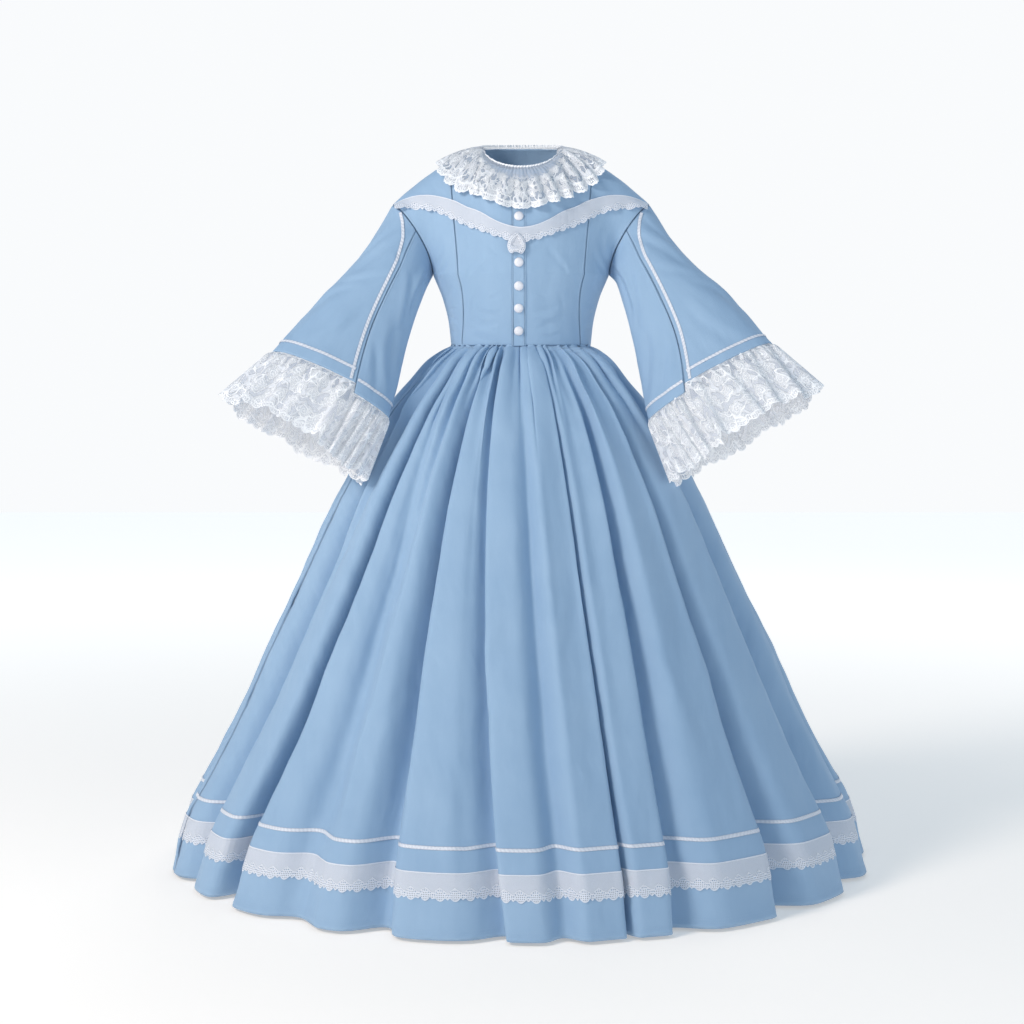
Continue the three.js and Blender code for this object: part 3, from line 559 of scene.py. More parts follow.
# %% Mesh and piece
def build(name, points, faces, cloth, material):
    mesh = bpy.data.meshes.new(name)
    mesh.vertices.add(len(points))
    mesh.vertices.foreach_set("co", (points * MM).astype(np.float32).ravel())
    mesh.loops.add(faces.size)
    mesh.loops.foreach_set("vertex_index", faces.astype(np.int32).ravel())
    mesh.polygons.add(len(faces))
    starts = np.arange(0, faces.size, faces.shape[1], dtype=np.int32)
    mesh.polygons.foreach_set("loop_start", starts)
    mesh.polygons.foreach_set("use_smooth", np.ones(len(faces), bool))
    mesh.update(calc_edges=True)
    pattern = mesh.attributes.new("cloth", "FLOAT_VECTOR", "POINT")
    pattern.data.foreach_set("vector", cloth.astype(np.float32).ravel())
    mesh.materials.append(material)
    piece = bpy.data.objects.new(name, mesh)
    bpy.context.collection.objects.link(piece)
    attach(piece, "root")
    FACES[name] = len(faces) * (faces.shape[1] - 2)
    return piece


def cloth_piece(name, grid, cloth, material, wall=CLOTH_WALL):
    rows, columns = grid.shape[:2]
    outer = grid.reshape(-1, 3)
    flat = cloth.reshape(-1, 3)
    if not wall:
        return build(name, outer, quads(rows, columns), flat, material)
    inner = outer - grid_normals(grid).reshape(-1, 3) * wall
    count = len(outer)
    index = np.arange(count).reshape(rows, columns)
    border = np.concatenate([index[0, :], index[1:, -1], index[-1, -2::-1], index[-2:0:-1, 0]])
    after = np.roll(border, -1)
    rim = np.stack([after, border, border + count, after + count], axis=-1)
    faces = np.concatenate([quads(rows, columns), quads(rows, columns, count, True), rim])
    points = np.concatenate([outer, inner])
    return build(name, points, faces, np.concatenate([flat, flat]), material)


# %% [markdown]
# Each finished piece takes the place of its plain solid, and its area is printed beside the size it
# was cut to. A shaped or gathered cut isn't a rectangle, so its area is measured on the grid: cloth
# keeps its area when it is draped.

# %% Replacing a solid and printing its area
def take_place(piece, node):
    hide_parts(node)
    return piece


def declare(piece, node, grid, cut, with_pieces=()):
    area = grid_area(grid) * MM**2
    take_place(piece, node)
    list(with_pieces)
    share = area / cut[0] / cut[1]
    print(piece.name, "cut", cut, "m, area", round(area, 4), "m2, share", round(share, 2))


# %% [markdown]
# ## Listed creases
# Creases are placed one by one: each is a line on the cloth with a bend, a width and a depth.
# Beside its trough stands a small ridge, because cloth that folds in at one place has to come
# out beside it. A few slow waves keep the rest from looking ironed.

# %% Creases, seams and slow waves
def creases(x, y, marks):
    height = np.zeros(np.broadcast(x, y).shape)
    for x0, y0, x1, y1, bend, width, depth in marks:
        length = math.hypot(x1 - x0, y1 - y0)
        t = ((x - x0) * (x1 - x0) + (y - y0) * (y1 - y0)) / length**2
        s = ((x - x0) * (y1 - y0) - (y - y0) * (x1 - x0)) / length
        bow = np.clip(1 - (2 * t - 1) ** 2, 0, 1)
        s = s - bend * bow
        trough = bell(s, width)
        ridge = bell(s - 1.7 * width, 1.2 * width)
        height += depth * bow**0.8 * (0.75 * ridge - trough)
    return height


def slow_waves(x, y, size, depth, turn):
    """A quiet unevenness: five crossed waves of about the given size."""
    height = np.zeros(np.broadcast(x, y).shape)
    for i in range(5):
        angle = turn + 2.4 * i
        pace = 2 * math.pi / (size * (0.7 + 0.23 * i))
        height += np.sin(pace * (x * math.cos(angle) + y * math.sin(angle)) + 1.7 * i * i + turn)
    return height * depth / 5


def seam(distance, along, pucker=0.35):
    """A sewn edge: the cloth dips into the seam and puckers a little beside it."""
    dip = 0.9 * bell(distance, 1.5)
    beat = np.sin(along / 1.35 + 1.3 * np.sin(along / 9.0)) * (0.6 + 0.4 * np.sin(along / 17.0))
    return pucker * beat * np.exp(-distance / 5.0) - dip


def seam_shade(distance):
    """The spare value of the cloth attribute: painted shade in the seam, and a little lighter
    beside it, where the cloth wears.
    """
    return 0.16 * bell(distance - 3.0, 1.4) - 0.85 * bell(distance, 0.9)


def dense_ends(count, tight=0.75):
    """Places from 0 to 1, closer together at both ends."""
    t = np.linspace(0, 1, count)
    return mix(t, 0.5 - 0.5 * np.cos(math.pi * t), tight)


# %% [markdown]
# ## The bodice
# A princess bodice has a long seam from each shoulder over the bust to the waist, so that it
# needs no darts. It is built here as one smooth surface from a few widths and depths, cut along
# its seams afterwards. `across` runs from one side seam to the other, and `up` from the waist
# over the armpit to the neck and shoulder.

# %% Bodice surface
ARMPIT_UP = 137.0
TOP_UP, NEAR_TOP_UP = 2 - 0.003, 1.99
NECK_HALF, NECK_DEPTH, NECK_Z = 77.0, 72.0, -5.0
NECK_FRONT_DROP, NECK_BACK_RISE, NECK_SHARE = 44.0, 8.0, 0.36
SHOULDER_RUN, SHOULDER_DROP, SHOULDER_BEND = 173.0, 106.0, 1.5
BODICE = [
    {"up": 0, "half": 136, "front": 100, "back": 94},
    {"up": 45, "half": 141, "front": 108, "back": 97},
    {"up": 90, "half": 152, "front": 118, "back": 102},
    {"up": 137, "half": 171, "front": 126, "back": 107},
]
PRINCESS = [
    {"up": 0, "share": 0.635},
    {"up": 1, "share": 0.50},
    {"up": 1.5, "share": 0.57},
    {"up": 2, "share": 0.62},
]
STAND_LEFT, STAND_RIGHT = -18.0, 8.5
FRONT, BACK = -1, 1
LOW_PULL = {"out": 6, "more_at_side": 52, "up": 52}
HIGH_PULL = {"in": 22, "out": (62, 32), "up": (-7, -50)}
CORNER_SPREAD, CORNER_REACH = 0.22, 0.22
CORNER_BLEND = [(-1, 1 / 9), (-0.5, 2 / 9), (0, 3 / 9), (0.5, 2 / 9), (1, 1 / 9)]


def top_edge(across, facing):
    share = np.abs(across)
    sign = np.where(across < 0, -1.0, 1.0)
    turn = np.minimum(share / NECK_SHARE, 1) * math.pi / 2
    lift = -NECK_FRONT_DROP if facing == FRONT else NECK_BACK_RISE
    neck = stack(
        sign * NECK_HALF * np.sin(turn),
        facing * NECK_DEPTH * np.cos(turn),
        NECK_Z + lift * np.cos(turn),
    )
    out = np.maximum((share - NECK_SHARE) / (1 - NECK_SHARE), 0)
    drop = SHOULDER_DROP * out**SHOULDER_BEND
    shoulder = stack(sign * (NECK_HALF + SHOULDER_RUN * out), 0 * out, NECK_Z - drop)
    return np.where((share < NECK_SHARE)[..., None], neck, shoulder)


def bodice_point(across, up, facing):
    across, up = np.broadcast_arrays(np.asarray(across, float), np.asarray(up, float))
    level = np.minimum(up, 1) * ARMPIT_UP
    turn = across * math.pi / 2
    half = read(BODICE, "up", "half", level)
    depth = read(BODICE, "up", "front" if facing == FRONT else "back", level)
    low = stack(half * np.sin(turn), facing * depth * np.cos(turn), WAIST_Z + level)
    share = np.abs(across)
    sign = np.where(across < 0, -1.0, 1.0)
    on_neck = 1 - ease(share / NECK_SHARE)
    t = np.clip(up - 1, 0, 1)[..., None]
    near_corner = bell(share - NECK_SHARE, CORNER_REACH)
    spread = CORNER_SPREAD * (1 - t[..., 0]) * near_corner
    top = sum(weight * top_edge(across + k * spread, facing) for k, weight in CORNER_BLEND)
    low_out = LOW_PULL["out"] + LOW_PULL["more_at_side"] * share**6
    low_handle = low + stack(0 * share, facing * low_out, LOW_PULL["up"] + 0 * share)
    high_handle = top + stack(
        -sign * HIGH_PULL["in"] * share**2,
        facing * mix(*HIGH_PULL["out"], on_neck),
        mix(*HIGH_PULL["up"], on_neck),
    )
    curve = (
        (1 - t) ** 3 * low + 3 * (1 - t) ** 2 * t * low_handle
        + 3 * (1 - t) * t * t * high_handle + t**3 * top
    )
    return np.where((up <= 1)[..., None], low, curve)


def bodice_front(across, up):
    return bodice_point(across, up, FRONT)


def bodice_back(across, up):
    return bodice_point(-np.asarray(across, float), up, BACK)

# %% Measuring on the bodice
def normal_on(surface, a, b, step=0.002):
    right = surface(a + step, b) - surface(a - step, b)
    up = surface(a, np.minimum(b + step, 2)) - surface(a, b - step)
    return unit(np.cross(right, up))


def across_at(x, up):
    """The place across the front that lies x millimetres from the centre line."""
    up = np.asarray(up, float)
    low, high = np.full(up.shape, -1.0), np.full(up.shape, 1.0)
    for _ in range(30):
        middle = (low + high) / 2
        short = bodice_front(middle, up)[..., 0] < x
        low = np.where(short, middle, low)
        high = np.where(short, high, middle)
    return (low + high) / 2


print("shoulder point:", np.round(bodice_front(1.0, 2.0), 1))

# %% [markdown]
# ## Sewing up the bodice
# Each panel is a grid between its two seams. It gets dips and puckers at the seams, its own
# creases, and a shade along the stitching. The marks are in millimetres on the cloth: across from
# the panel's middle, and up from the waist. Most of them are drag lines: from the bust to the
# side, from the buttons to the princess seam, and short ones above the waist.

# %% Bodice panels
BODICE_ROWS, LOW_ROWS = 92, 38
SIDE_SEAM_GAP = 0.15


def nudge(across, up, distance):
    a = bodice_front(across - 0.01, up)
    b = bodice_front(across + 0.01, up)
    return across + distance * 0.02 / np.linalg.norm(b - a, axis=-1)


def bodice_ups():
    low = np.linspace(0, 1, LOW_ROWS)[:-1]
    return np.concatenate([low, np.linspace(1, TOP_UP, BODICE_ROWS - len(low))])


def sew_panel(name, node, surface, edges, columns, marks, cut, seams=(1, 1), waves=0.5):
    up = bodice_ups()
    left, right = edges[0](up), edges[1](up)
    across = left[:, None] + (right - left)[:, None] * dense_ends(columns)[None, :]
    ups = np.broadcast_to(up[:, None], across.shape)
    grid = surface(across, ups)
    normals = normal_on(surface, across, ups)
    along, rise = laid_flat(grid)
    to_left = along - along[:, :1]
    to_right = along[:, -1:] - along
    height = creases(along, rise, marks) + slow_waves(along, rise, 60, waves, len(name))
    # shade holds painted shade in the seams, with a little wear beside them.
    shade = np.zeros_like(along)
    for on, distance in zip(seams, (to_left, to_right)):
        if on:
            height += seam(distance, rise)
            shade += seam_shade(distance)
    height -= 1.1 * bell(rise, 2.2)
    # Painted shade along the waist seam, at the foot of each panel.
    shade -= 0.7 * bell(rise, 1.2)
    keep = np.clip(np.minimum(to_left, to_right) / 12, 0.25, 1)
    grid = grid + normals * (height * keep)[..., None]
    cloth = cloth_values(along, rise, shade)
    piece = cloth_piece(name, grid, cloth, BLUE)
    declare(piece, node, grid, cut)
    return piece


def side_edge(up):
    return nudge(np.ones_like(up), up, -SIDE_SEAM_GAP)


def princess(up, sign, gap_side):
    return nudge(sign * read(PRINCESS, "up", "share", up), up, gap_side * SIDE_SEAM_GAP)


def stand_left(up):
    return across_at(STAND_LEFT, up)


def stand_right(up):
    return across_at(STAND_RIGHT, up)

# %% Creases of the panels
CENTRE_MARKS = [
    (-34, 150, 8, 186, 5, 5.0, 1.3),
    (-36, 136, -8, 158, -3, 4.0, 1.2),
    (-34, 52, 30, 44, 6, 4.5, 1.5),
    (-30, 36, 26, 26, -5, 4.5, 1.4),
    (30, 62, -24, 74, -4, 5.0, 1.1),
    (-28, 20, 20, 12, 3, 3.5, 1.0),
    (32, 96, 4, 88, 3, 4.0, 0.8),
    (-20, 104, -30, 60, 3, 5.0, 0.8),
    (10, 200, 34, 174, 4, 6.0, 0.9),
]
SIDE_MARKS = [
    (-30, 128, 24, 176, 6, 6.0, 1.6),
    (-34, 150, 6, 206, 7, 7.0, 1.3),
    (-24, 92, 26, 118, 5, 5.5, 1.3),
    (-28, 58, 24, 46, -5, 4.5, 1.5),
    (-24, 36, 26, 28, 4, 4.0, 1.3),
    (26, 74, -14, 66, 3, 4.0, 1.1),
]
BACK_MARKS = [
    (-70, 40, 20, 30, 6, 5.5, 1.4),
    (80, 62, -10, 48, -7, 6.0, 1.5),
    (-60, 84, 44, 94, 7, 7.0, 1.2),
    (-132, 130, -70, 190, 8, 8.0, 1.7),
    (132, 126, 76, 196, -8, 8.0, 1.6),
    (-104, 100, -58, 130, 5, 6.0, 1.2),
    (100, 96, 64, 134, -5, 6.0, 1.2),
    (-24, 22, 50, 16, 3, 4.0, 1.1),
    (-40, 250, 38, 246, -6, 8.0, 1.0),
]


def mirrored(marks, shift=0.0):
    return [
        (-x0, y0 + shift, -x1, y1 + shift, -bend, width * 1.08, depth * 0.9)
        for x0, y0, x1, y1, bend, width, depth in marks
    ]


def princess_right(up):
    return princess(up, -1, 1)


def stand_from_right(up):
    return nudge(stand_left(up), up, -SIDE_SEAM_GAP)


def stand_from_left(up):
    return nudge(stand_left(up), up, SIDE_SEAM_GAP)


sew_panel("centre_front_right_cloth", "bodice_front_centre_right", bodice_front,
          (princess_right, stand_from_right), 60, CENTRE_MARKS, (0.150, 0.40),
          seams=(1, 0))
sew_panel("centre_front_left_cloth", "bodice_front_centre_left", bodice_front,
          (stand_from_left, lambda up: princess(up, 1, -1)), 76, mirrored(CENTRE_MARKS, 6),
          (0.185, 0.40), seams=(0, 1))
sew_panel("side_front_right_cloth", "bodice_front_side_right", bodice_front,
          (lambda up: -side_edge(up), lambda up: princess(up, -1, -1)), 50, SIDE_MARKS,
          (0.130, 0.36))
sew_panel("side_front_left_cloth", "bodice_front_side_left", bodice_front,
          (lambda up: princess(up, 1, 1), side_edge), 50, mirrored(SIDE_MARKS, 8),
          (0.130, 0.36))
sew_panel("bodice_back_cloth", "bodice_back", bodice_back,
          (lambda up: -side_edge(up), side_edge), 140, BACK_MARKS, (0.53, 0.42),
          waves=0.8)

# %% [markdown]
# ## The button stand
# The stand is a folded strip on the gown's left front, topstitched along both edges. It is the
# same surface, lifted by the thickness of the cloth under it, with a soft hollow at each button.

# %% Button stand
STAND_LIFT = 1.9
BUTTON_X = -5.0
BUTTON_Z = [-140.0, -227.0, -271.0, -313.0, -356.0]
BUTTON_HEIGHT = 6.0


def stand_grid(columns=26, rows=150):
    up = np.linspace(0, TOP_UP, rows)
    left = nudge(stand_left(up), up, SIDE_SEAM_GAP)
    across = left[:, None] + (stand_right(up) - left)[:, None] * dense_ends(columns)[None, :]
    ups = np.broadcast_to(up[:, None], across.shape)
    return bodice_front(across, ups), normal_on(bodice_front, across, ups)


stand, stand_normals = stand_grid()
stand_along, stand_up = laid_flat(stand)
stand_edge = stand_along[:, -1:] - np.abs(stand_along)
stand_height = STAND_LIFT + 0.25 * np.sin(stand_up / 3.1) * bell(stand_edge - 2.5, 1.6)
stand_height += slow_waves(stand_along, stand_up, 42, 0.5, 3.1) - 0.5 * bell(stand_edge, 0.9)
for z in BUTTON_Z:
    away = np.hypot(stand[..., 0] - BUTTON_X, stand[..., 2] - z)
    stand_height -= 0.35 * bell(away, 8.0)
# Lighter along both edges of the stand, and painted shade in a line just inside each edge, beside
# the topstitching.
stand_shade = 0.2 * bell(stand_edge, 1.2) - 0.5 * bell(stand_edge - 2.6, 0.6)
stand_raised = stand + stand_normals * stand_height[..., None]
stand_values = cloth_values(stand_along, stand_up, stand_shade)
stand_piece = cloth_piece("button_stand_cloth", stand_raised, stand_values, BLUE, 1.4)
STAND_CUT = (0.028, 0.36)

# %% [markdown]
# ## The skirt
# The skirt is two wide gathered pieces. Its outline comes from widths and depths below the
# waist. On it lie large folds: each has a valley that fans out to the hem, and where the cloth
# rolls over, the ridge leans over its valley and throws the dark line that folds are known by.
# Smaller folds start in the gathers and fade half way down.

# %% Skirt folds
SKIRT_LENGTH = 1000.0
SKIRT = [
    {"down": 0, "half": 136, "front": 100, "back": 94},
    {"down": 27, "half": 172, "front": 132, "back": 130},
    {"down": 66, "half": 206, "front": 163, "back": 168},
    {"down": 105, "half": 240, "front": 194, "back": 204},
    {"down": 200, "half": 302, "front": 256, "back": 270},
    {"down": 302, "half": 358, "front": 318, "back": 332},
    {"down": 420, "half": 413, "front": 382, "back": 392},
    {"down": 579, "half": 489, "front": 466, "back": 474},
    {"down": 698, "half": 544, "front": 526, "back": 532},
    {"down": 818, "half": 606, "front": 592, "back": 596},
    {"down": 899, "half": 648, "front": 640, "back": 642},
    {"down": 1000, "half": 676, "front": 676, "back": 676},
]
# The depth is in millimetres, the start is below the waist, and the lean is over the valley.
FOLD_COLUMNS = ("waist", "hem", "depth", "start", "share", "lean", "sharpness")
FOLDS = np.array([
    (-174, -171, 46, 60, 0.46, 16, 1.2),
    (-157, -154, 58, 40, 0.40, -26, 1.5),
    (-141, -139, 34, 150, 0.50, 10, 1.1),
    (-124, -122, 55, 50, 0.42, 24, 1.4),
    (-107, -105, 40, 90, 0.48, -14, 1.2),
    (-82, -84, 44, 70, 0.40, 18, 1.3),
    (-60, -67, 46, 120, 0.42, 22, 1.4),
    (-44, -56.5, 92, 20, 0.43, 48, 1.35),
    (-35, -37, 38, 150, 0.46, 18, 1.3),
    (-23, -22, 60, 40, 0.42, -34, 1.5),
    (-14.5, -2.5, 46, 20, 0.38, -28, 1.5),
    (0, 6, 24, 160, 0.46, 8, 1.1),
    (13, 15, 54, 20, 0.36, 36, 1.7),
    (28, 23, 46, 40, 0.42, 24, 1.4),
    (43, 44, 84, 10, 0.42, 50, 1.8),
    (64, 66, 56, 50, 0.42, 26, 1.4),
    (86, 82, 38, 110, 0.46, -12, 1.2),
    (106, 102, 56, 60, 0.40, 26, 1.5),
    (121, 119, 36, 140, 0.50, -10, 1.1),
    (137, 135, 60, 40, 0.42, 28, 1.5),
    (154, 153, 40, 100, 0.46, -14, 1.2),
    (170, 171, 52, 60, 0.42, -22, 1.4),
])
FOLD_COUNT = len(FOLDS)
GATHERS = 42
GATHER_SWING = [
    {"down": 0, "swing": 2.4},
    {"down": 8, "swing": 7.6},
    {"down": 26, "swing": 10.2},
    {"down": 60, "swing": 8.6},
    {"down": 120, "swing": 5.0},
    {"down": 210, "swing": 1.8},
    {"down": 320, "swing": 0},
]
GATHER_ROLL = 0.75
SMALL_FOLDS = [
    {"down": 0, "swing": 0},
    {"down": 60, "swing": 3.0},
    {"down": 170, "swing": 7.0},
    {"down": 330, "swing": 7.0},
    {"down": 560, "swing": 4.5},
    {"down": 800, "swing": 2.4},
    {"down": 1000, "swing": 1.6},
]
SIDE_LEFT, SIDE_RIGHT = 5.5, 16.5
chance = np.random.default_rng(11)
GATHER_SIZE = 1 + chance.uniform(-0.65, 0.5, GATHERS)
GATHER_REACH = 1 + chance.uniform(-0.6, 0.7, GATHERS)
GATHER_SHIFT = chance.uniform(-0.42, 0.42, GATHERS)
SMALL_PER_FOLD = 1.5
SMALL_COUNT = int(SMALL_PER_FOLD * FOLD_COUNT)
SMALL_SIZE = 1 + chance.uniform(-0.85, 0.6, SMALL_COUNT)
SMALL_REACH = 1 + chance.uniform(-0.4, 0.5, SMALL_COUNT)
SMALL_SHIFT = chance.uniform(-0.35, 0.35, SMALL_COUNT)

# %% Skirt surface
FOLD_SWELL, FOLD_SETTLE = 1.15, 0.3
CROWN_HEIGHT = 7.0
GATHER_ROUND, SMALL_ROUND = 0.85, 1.3
WAIST_GAP, WAIST_GROOVE = 0.3, 2.5
CALM_WAVES = [
    {"across": 120, "length": 210, "height": 3.4, "start": 0.7, "grown": 250},
    {"across": 110, "length": 72, "height": 1.5, "start": 2.1, "grown": 160},
]


def between(values, at):
    """Reads a ring of values at any place, smoothly from one to the next."""
    index = np.floor(at).astype(int)
    f = ease(at - index)
    return mix(values[index % len(values)], values[(index + 1) % len(values)], f)


def fold_value(index, column):
    return FOLDS[index % FOLD_COUNT, FOLD_COLUMNS.index(column)]


def fold_angle(index, down):
    laps = index // FOLD_COUNT
    at_waist, at_hem = fold_value(index, "waist"), fold_value(index, "hem")
    return laps * 360 + mix(at_waist, at_hem, down / SKIRT_LENGTH)


def fold_growth(index, down):
    start = fold_value(index, "start")
    below_start = np.clip((down - start) / (SKIRT_LENGTH - start), 0, None)
    return FOLD_SWELL * below_start**0.5 * (1 - FOLD_SETTLE * below_start**3)


def fold_cut(index, down, distance):
    share = fold_value(index, "share")
    near = np.clip(distance / share, 0, 1)
    valley = (0.5 + 0.5 * np.cos(math.pi * near)) ** fold_value(index, "sharpness")
    return fold_value(index, "depth") * fold_growth(index, down) * valley


def fold_lean(index, down, distance, side):
    """How far a ridge leans over the valley beside it; side is -1 before the valley, 1 after."""
    near = np.clip(distance / fold_value(index, "share") / 1.5, 0, 1)
    lean = fold_value(index, "lean")
    reach = np.where(lean * side < 0, lean, 0) * fold_growth(index, down)
    return reach * np.sin(math.pi * near) ** 2


def crests(place, roundness):
    """Goes from 1 on a crest to -1 in a valley, once for every whole place."""
    return 2 * np.abs(np.cos(math.pi * place)) ** roundness - 1


def calm_wave(turn, below, across, length, height, start, grown):
    return slow_waves(turn * across, below, length, height, start) * ease(below / grown)


def skirt_point(turn, down):
    turn, down = np.broadcast_arrays(np.asarray(turn, float), np.asarray(down, float))
    below = np.maximum(down, 0)
    index = np.floor(turn).astype(int)
    f = turn - index
    angle = np.radians(mix(fold_angle(index, below), fold_angle(index + 1, below), f))
    cut = fold_cut(index, below, f) + fold_cut(index + 1, below, 1 - f)
    crown = CROWN_HEIGHT * np.sin(math.pi * f) ** 2 * (below / SKIRT_LENGTH) ** 0.7
    place = GATHERS * turn / FOLD_COUNT
    place = place + between(GATHER_SHIFT, place)
    swell = between(GATHER_SIZE, place)
    swing = read(GATHER_SWING, "down", "swing", below / between(GATHER_REACH, place)) * swell
    gather = swing * crests(place, GATHER_ROUND)
    small_place = SMALL_PER_FOLD * turn
    small_place = small_place + between(SMALL_SHIFT, small_place)
    small_reach = between(SMALL_REACH, small_place)
    small = read(SMALL_FOLDS, "down", "swing", below / small_reach)
    small = small * between(SMALL_SIZE, small_place)
    small = small * crests(small_place, SMALL_ROUND)
    calm = sum(calm_wave(turn, below, **wave) for wave in CALM_WAVES)
    half = read(SKIRT, "down", "half", below)
    front_depth = read(SKIRT, "down", "front", below)
    back_depth = read(SKIRT, "down", "back", below)
    depth = np.where(np.cos(angle) > 0, front_depth, back_depth)
    tuck = np.clip(-down, 0, 10) * 0.5 + bell(down, WAIST_GROOVE)
    out = gather + small + crown + calm - cut - tuck
    lean = fold_lean(index, below, f, 1) + fold_lean(index + 1, below, 1 - f, -1)
    lean = lean + GATHER_ROLL * swing * np.sin(2 * math.pi * place) * np.sin(0.9 * place + 1)
    base = stack(half * np.sin(angle), -depth * np.cos(angle), WAIST_Z - WAIST_GAP - down)
    radial = stack(np.sin(angle), -np.cos(angle), 0 * angle)
    onward = stack(np.cos(angle), np.sin(angle), 0 * angle)
    return base + radial * out[..., None] + onward * lean[..., None]


print("hem, centre front:", np.round(skirt_point(11.0, 1000.0), 1))

# %% [markdown]
# ## Things sewn onto cloth
# Ribbons, edgings and stitches lie on the dressed cloth, with its folds and puckers, and not on
# the smooth body under it. `Laid` remembers a finished grid and gives the point above any place
# on it, so that nothing sinks in or floats.

# %% Places on finished cloth
class Laid:
    def __init__(self, grid, columns, rows, facing=1):
        self.grid, self.columns, self.rows = grid, columns, rows
        self.normals = grid_normals(grid) * facing

    def at(self, column, row, lift=0.0):
        column, row = np.broadcast_arrays(np.asarray(column, float), np.asarray(row, float))
        c = np.interp(column, self.columns, np.arange(len(self.columns)))
        order = np.argsort(self.rows)
        r = np.interp(row, self.rows[order], order.astype(float))
        c0 = np.clip(np.floor(c).astype(int), 0, self.grid.shape[1] - 2)
        r0 = np.clip(np.floor(r).astype(int), 0, self.grid.shape[0] - 2)
        fc, fr = (c - c0)[..., None], (r - r0)[..., None]

        def blend(values):
            low = mix(values[r0, c0], values[r0, c0 + 1], fc)
            high = mix(values[r0 + 1, c0], values[r0 + 1, c0 + 1], fc)
            return mix(low, high, fr)

        return blend(self.grid) + unit(blend(self.normals)) * np.asarray(lift)[..., None]


def run_length(points):
    steps = np.linalg.norm(np.diff(points, axis=-2), axis=-1)
    return np.concatenate([np.zeros(steps.shape[:-1] + (1,)), np.cumsum(steps, axis=-1)], axis=-1)


# %% [markdown]
# ## Cutting the skirt
# The front and back meet in side seams. The grid is close together at the waist, where the
# gathers are, and at the hem, where the stitching runs. Above the waist seam a few millimetres
# of seam allowance stand inside the bodice, so that no gap shows.

# %% Skirt pieces
SKIRT_COLUMNS_PER_FOLD = 26
SKIRT_WALL = 0.9
HEM_STITCHING = (990.0, 985.0)
SKIRT_DOWNS = np.concatenate([
    [-5.0, -2.0], np.linspace(0, 12, 7), np.linspace(12, 120, 25)[1:],
    np.linspace(120, 900, 74)[1:], np.linspace(900, SKIRT_LENGTH, 17)[1:],
])
SKIRT_TURNS = {
    "front": (SIDE_LEFT, SIDE_RIGHT),
    "back": (SIDE_RIGHT, SIDE_LEFT + FOLD_COUNT),
}
SKIRT_CUT = {"front": (2.50, 1.18), "back": (2.62, 1.18)}
# across and down at each end of a crease, its bend, width and depth, in millimetres
SKIRT_MARKS = {
    "front": [
        (-250, 250, -330, 420, 10, 9, 2.6),
        (60, 300, 30, 520, -8, 10, 2.4),
        (210, 240, 270, 430, 12, 9, 2.8),
        (-90, 420, -150, 640, 12, 12, 2.6),
        (330, 480, 420, 700, -14, 13, 2.8),
        (-420, 560, -520, 760, 14, 13, 2.6),
        (120, 620, 170, 820, 10, 12, 2.2),
        (-260, 700, -250, 900, -10, 13, 2.2),
    ],
    "back": [
        (-230, 260, -300, 440, 10, 9, 2.6),
        (40, 280, 70, 520, 8, 10, 2.4),
        (240, 300, 310, 500, -12, 10, 2.8),
        (-80, 470, -40, 700, 12, 12, 2.6),
        (360, 520, 430, 740, 12, 13, 2.6),
        (-420, 600, -500, 800, -12, 13, 2.4),
        (150, 640, 120, 860, 10, 12, 2.2),
    ],
}
SKIRT_LAID = {}


def sew_skirt(half, start, end):
    turns = np.linspace(start, end, int(round((end - start) * SKIRT_COLUMNS_PER_FOLD)) + 1)
    grid = skirt_point(turns[None, :], SKIRT_DOWNS[::-1, None])
    along, up = laid_flat(grid)
    edge = np.minimum(along - along[:, :1], along[:, -1:] - along)
    normals = grid_normals(grid)
    beat = np.sin(along / 2.6 + 2.0 * np.sin(along / 31))
    marks = [
        (x0, SKIRT_LENGTH - down0, x1, SKIRT_LENGTH - down1, *form)
        for x0, down0, x1, down1, *form in SKIRT_MARKS[half]
    ]
    height = seam(edge, up, 0.8) + 0.45 * beat * bell(up - 7, 5)
    height = height + creases(along, up, marks)
    # Painted shade in the side seams, with wear beside them and along the hem's edge.
    shade = seam_shade(edge) + 0.14 * bell(up, 1.2)
    # Painted shade along each row of hem stitching.
    for down in HEM_STITCHING:
        shade = shade - 0.18 * bell(up - (SKIRT_LENGTH - down), 1.0)
    grid = grid + normals * height[..., None]
    SKIRT_LAID[half] = Laid(grid, turns, SKIRT_DOWNS[::-1])
    cloth = cloth_values(along, up, shade)
    hem, length = metres(along[0, -1] * 2), metres(np.median(up[-1]))
    print("skirt", half, "hem", hem, "m, length", length, "m")
    return cloth_piece(f"skirt_{half}_cloth", grid, cloth, BLUE, SKIRT_WALL), grid


skirt_made = {half: sew_skirt(half, *ends) for half, ends in SKIRT_TURNS.items()}

# %% [markdown]
# ## Stitches
# Topstitching is what makes a hem look sewn. Each stitch is a slim thread with pointed ends that
# stands a little proud, and they lie end to end with a small gap, all joined in one mesh.

# %% Thread and stitches
STITCH, STITCH_GAP, THREAD = 2.5, 1.3, 0.42


def thread():
    look = Recipe("blue_thread")
    vector, along, up, spare = look.cloth()
    twist = look.wave(look.scaled(along, 9000.0, look.times(up, 9000.0)))
    colour = look.blend(look.scaled(twist, 0.3, 0.4), CLOTH_PALE, CLOTH_WORN)
    return look.finish(
        Base_Color=colour, Roughness=look.scaled(twist, 0.05, 0.5),
        Normal=look.bump(twist, 0.0001, 0.5),
    )


BLUE_THREAD = thread()


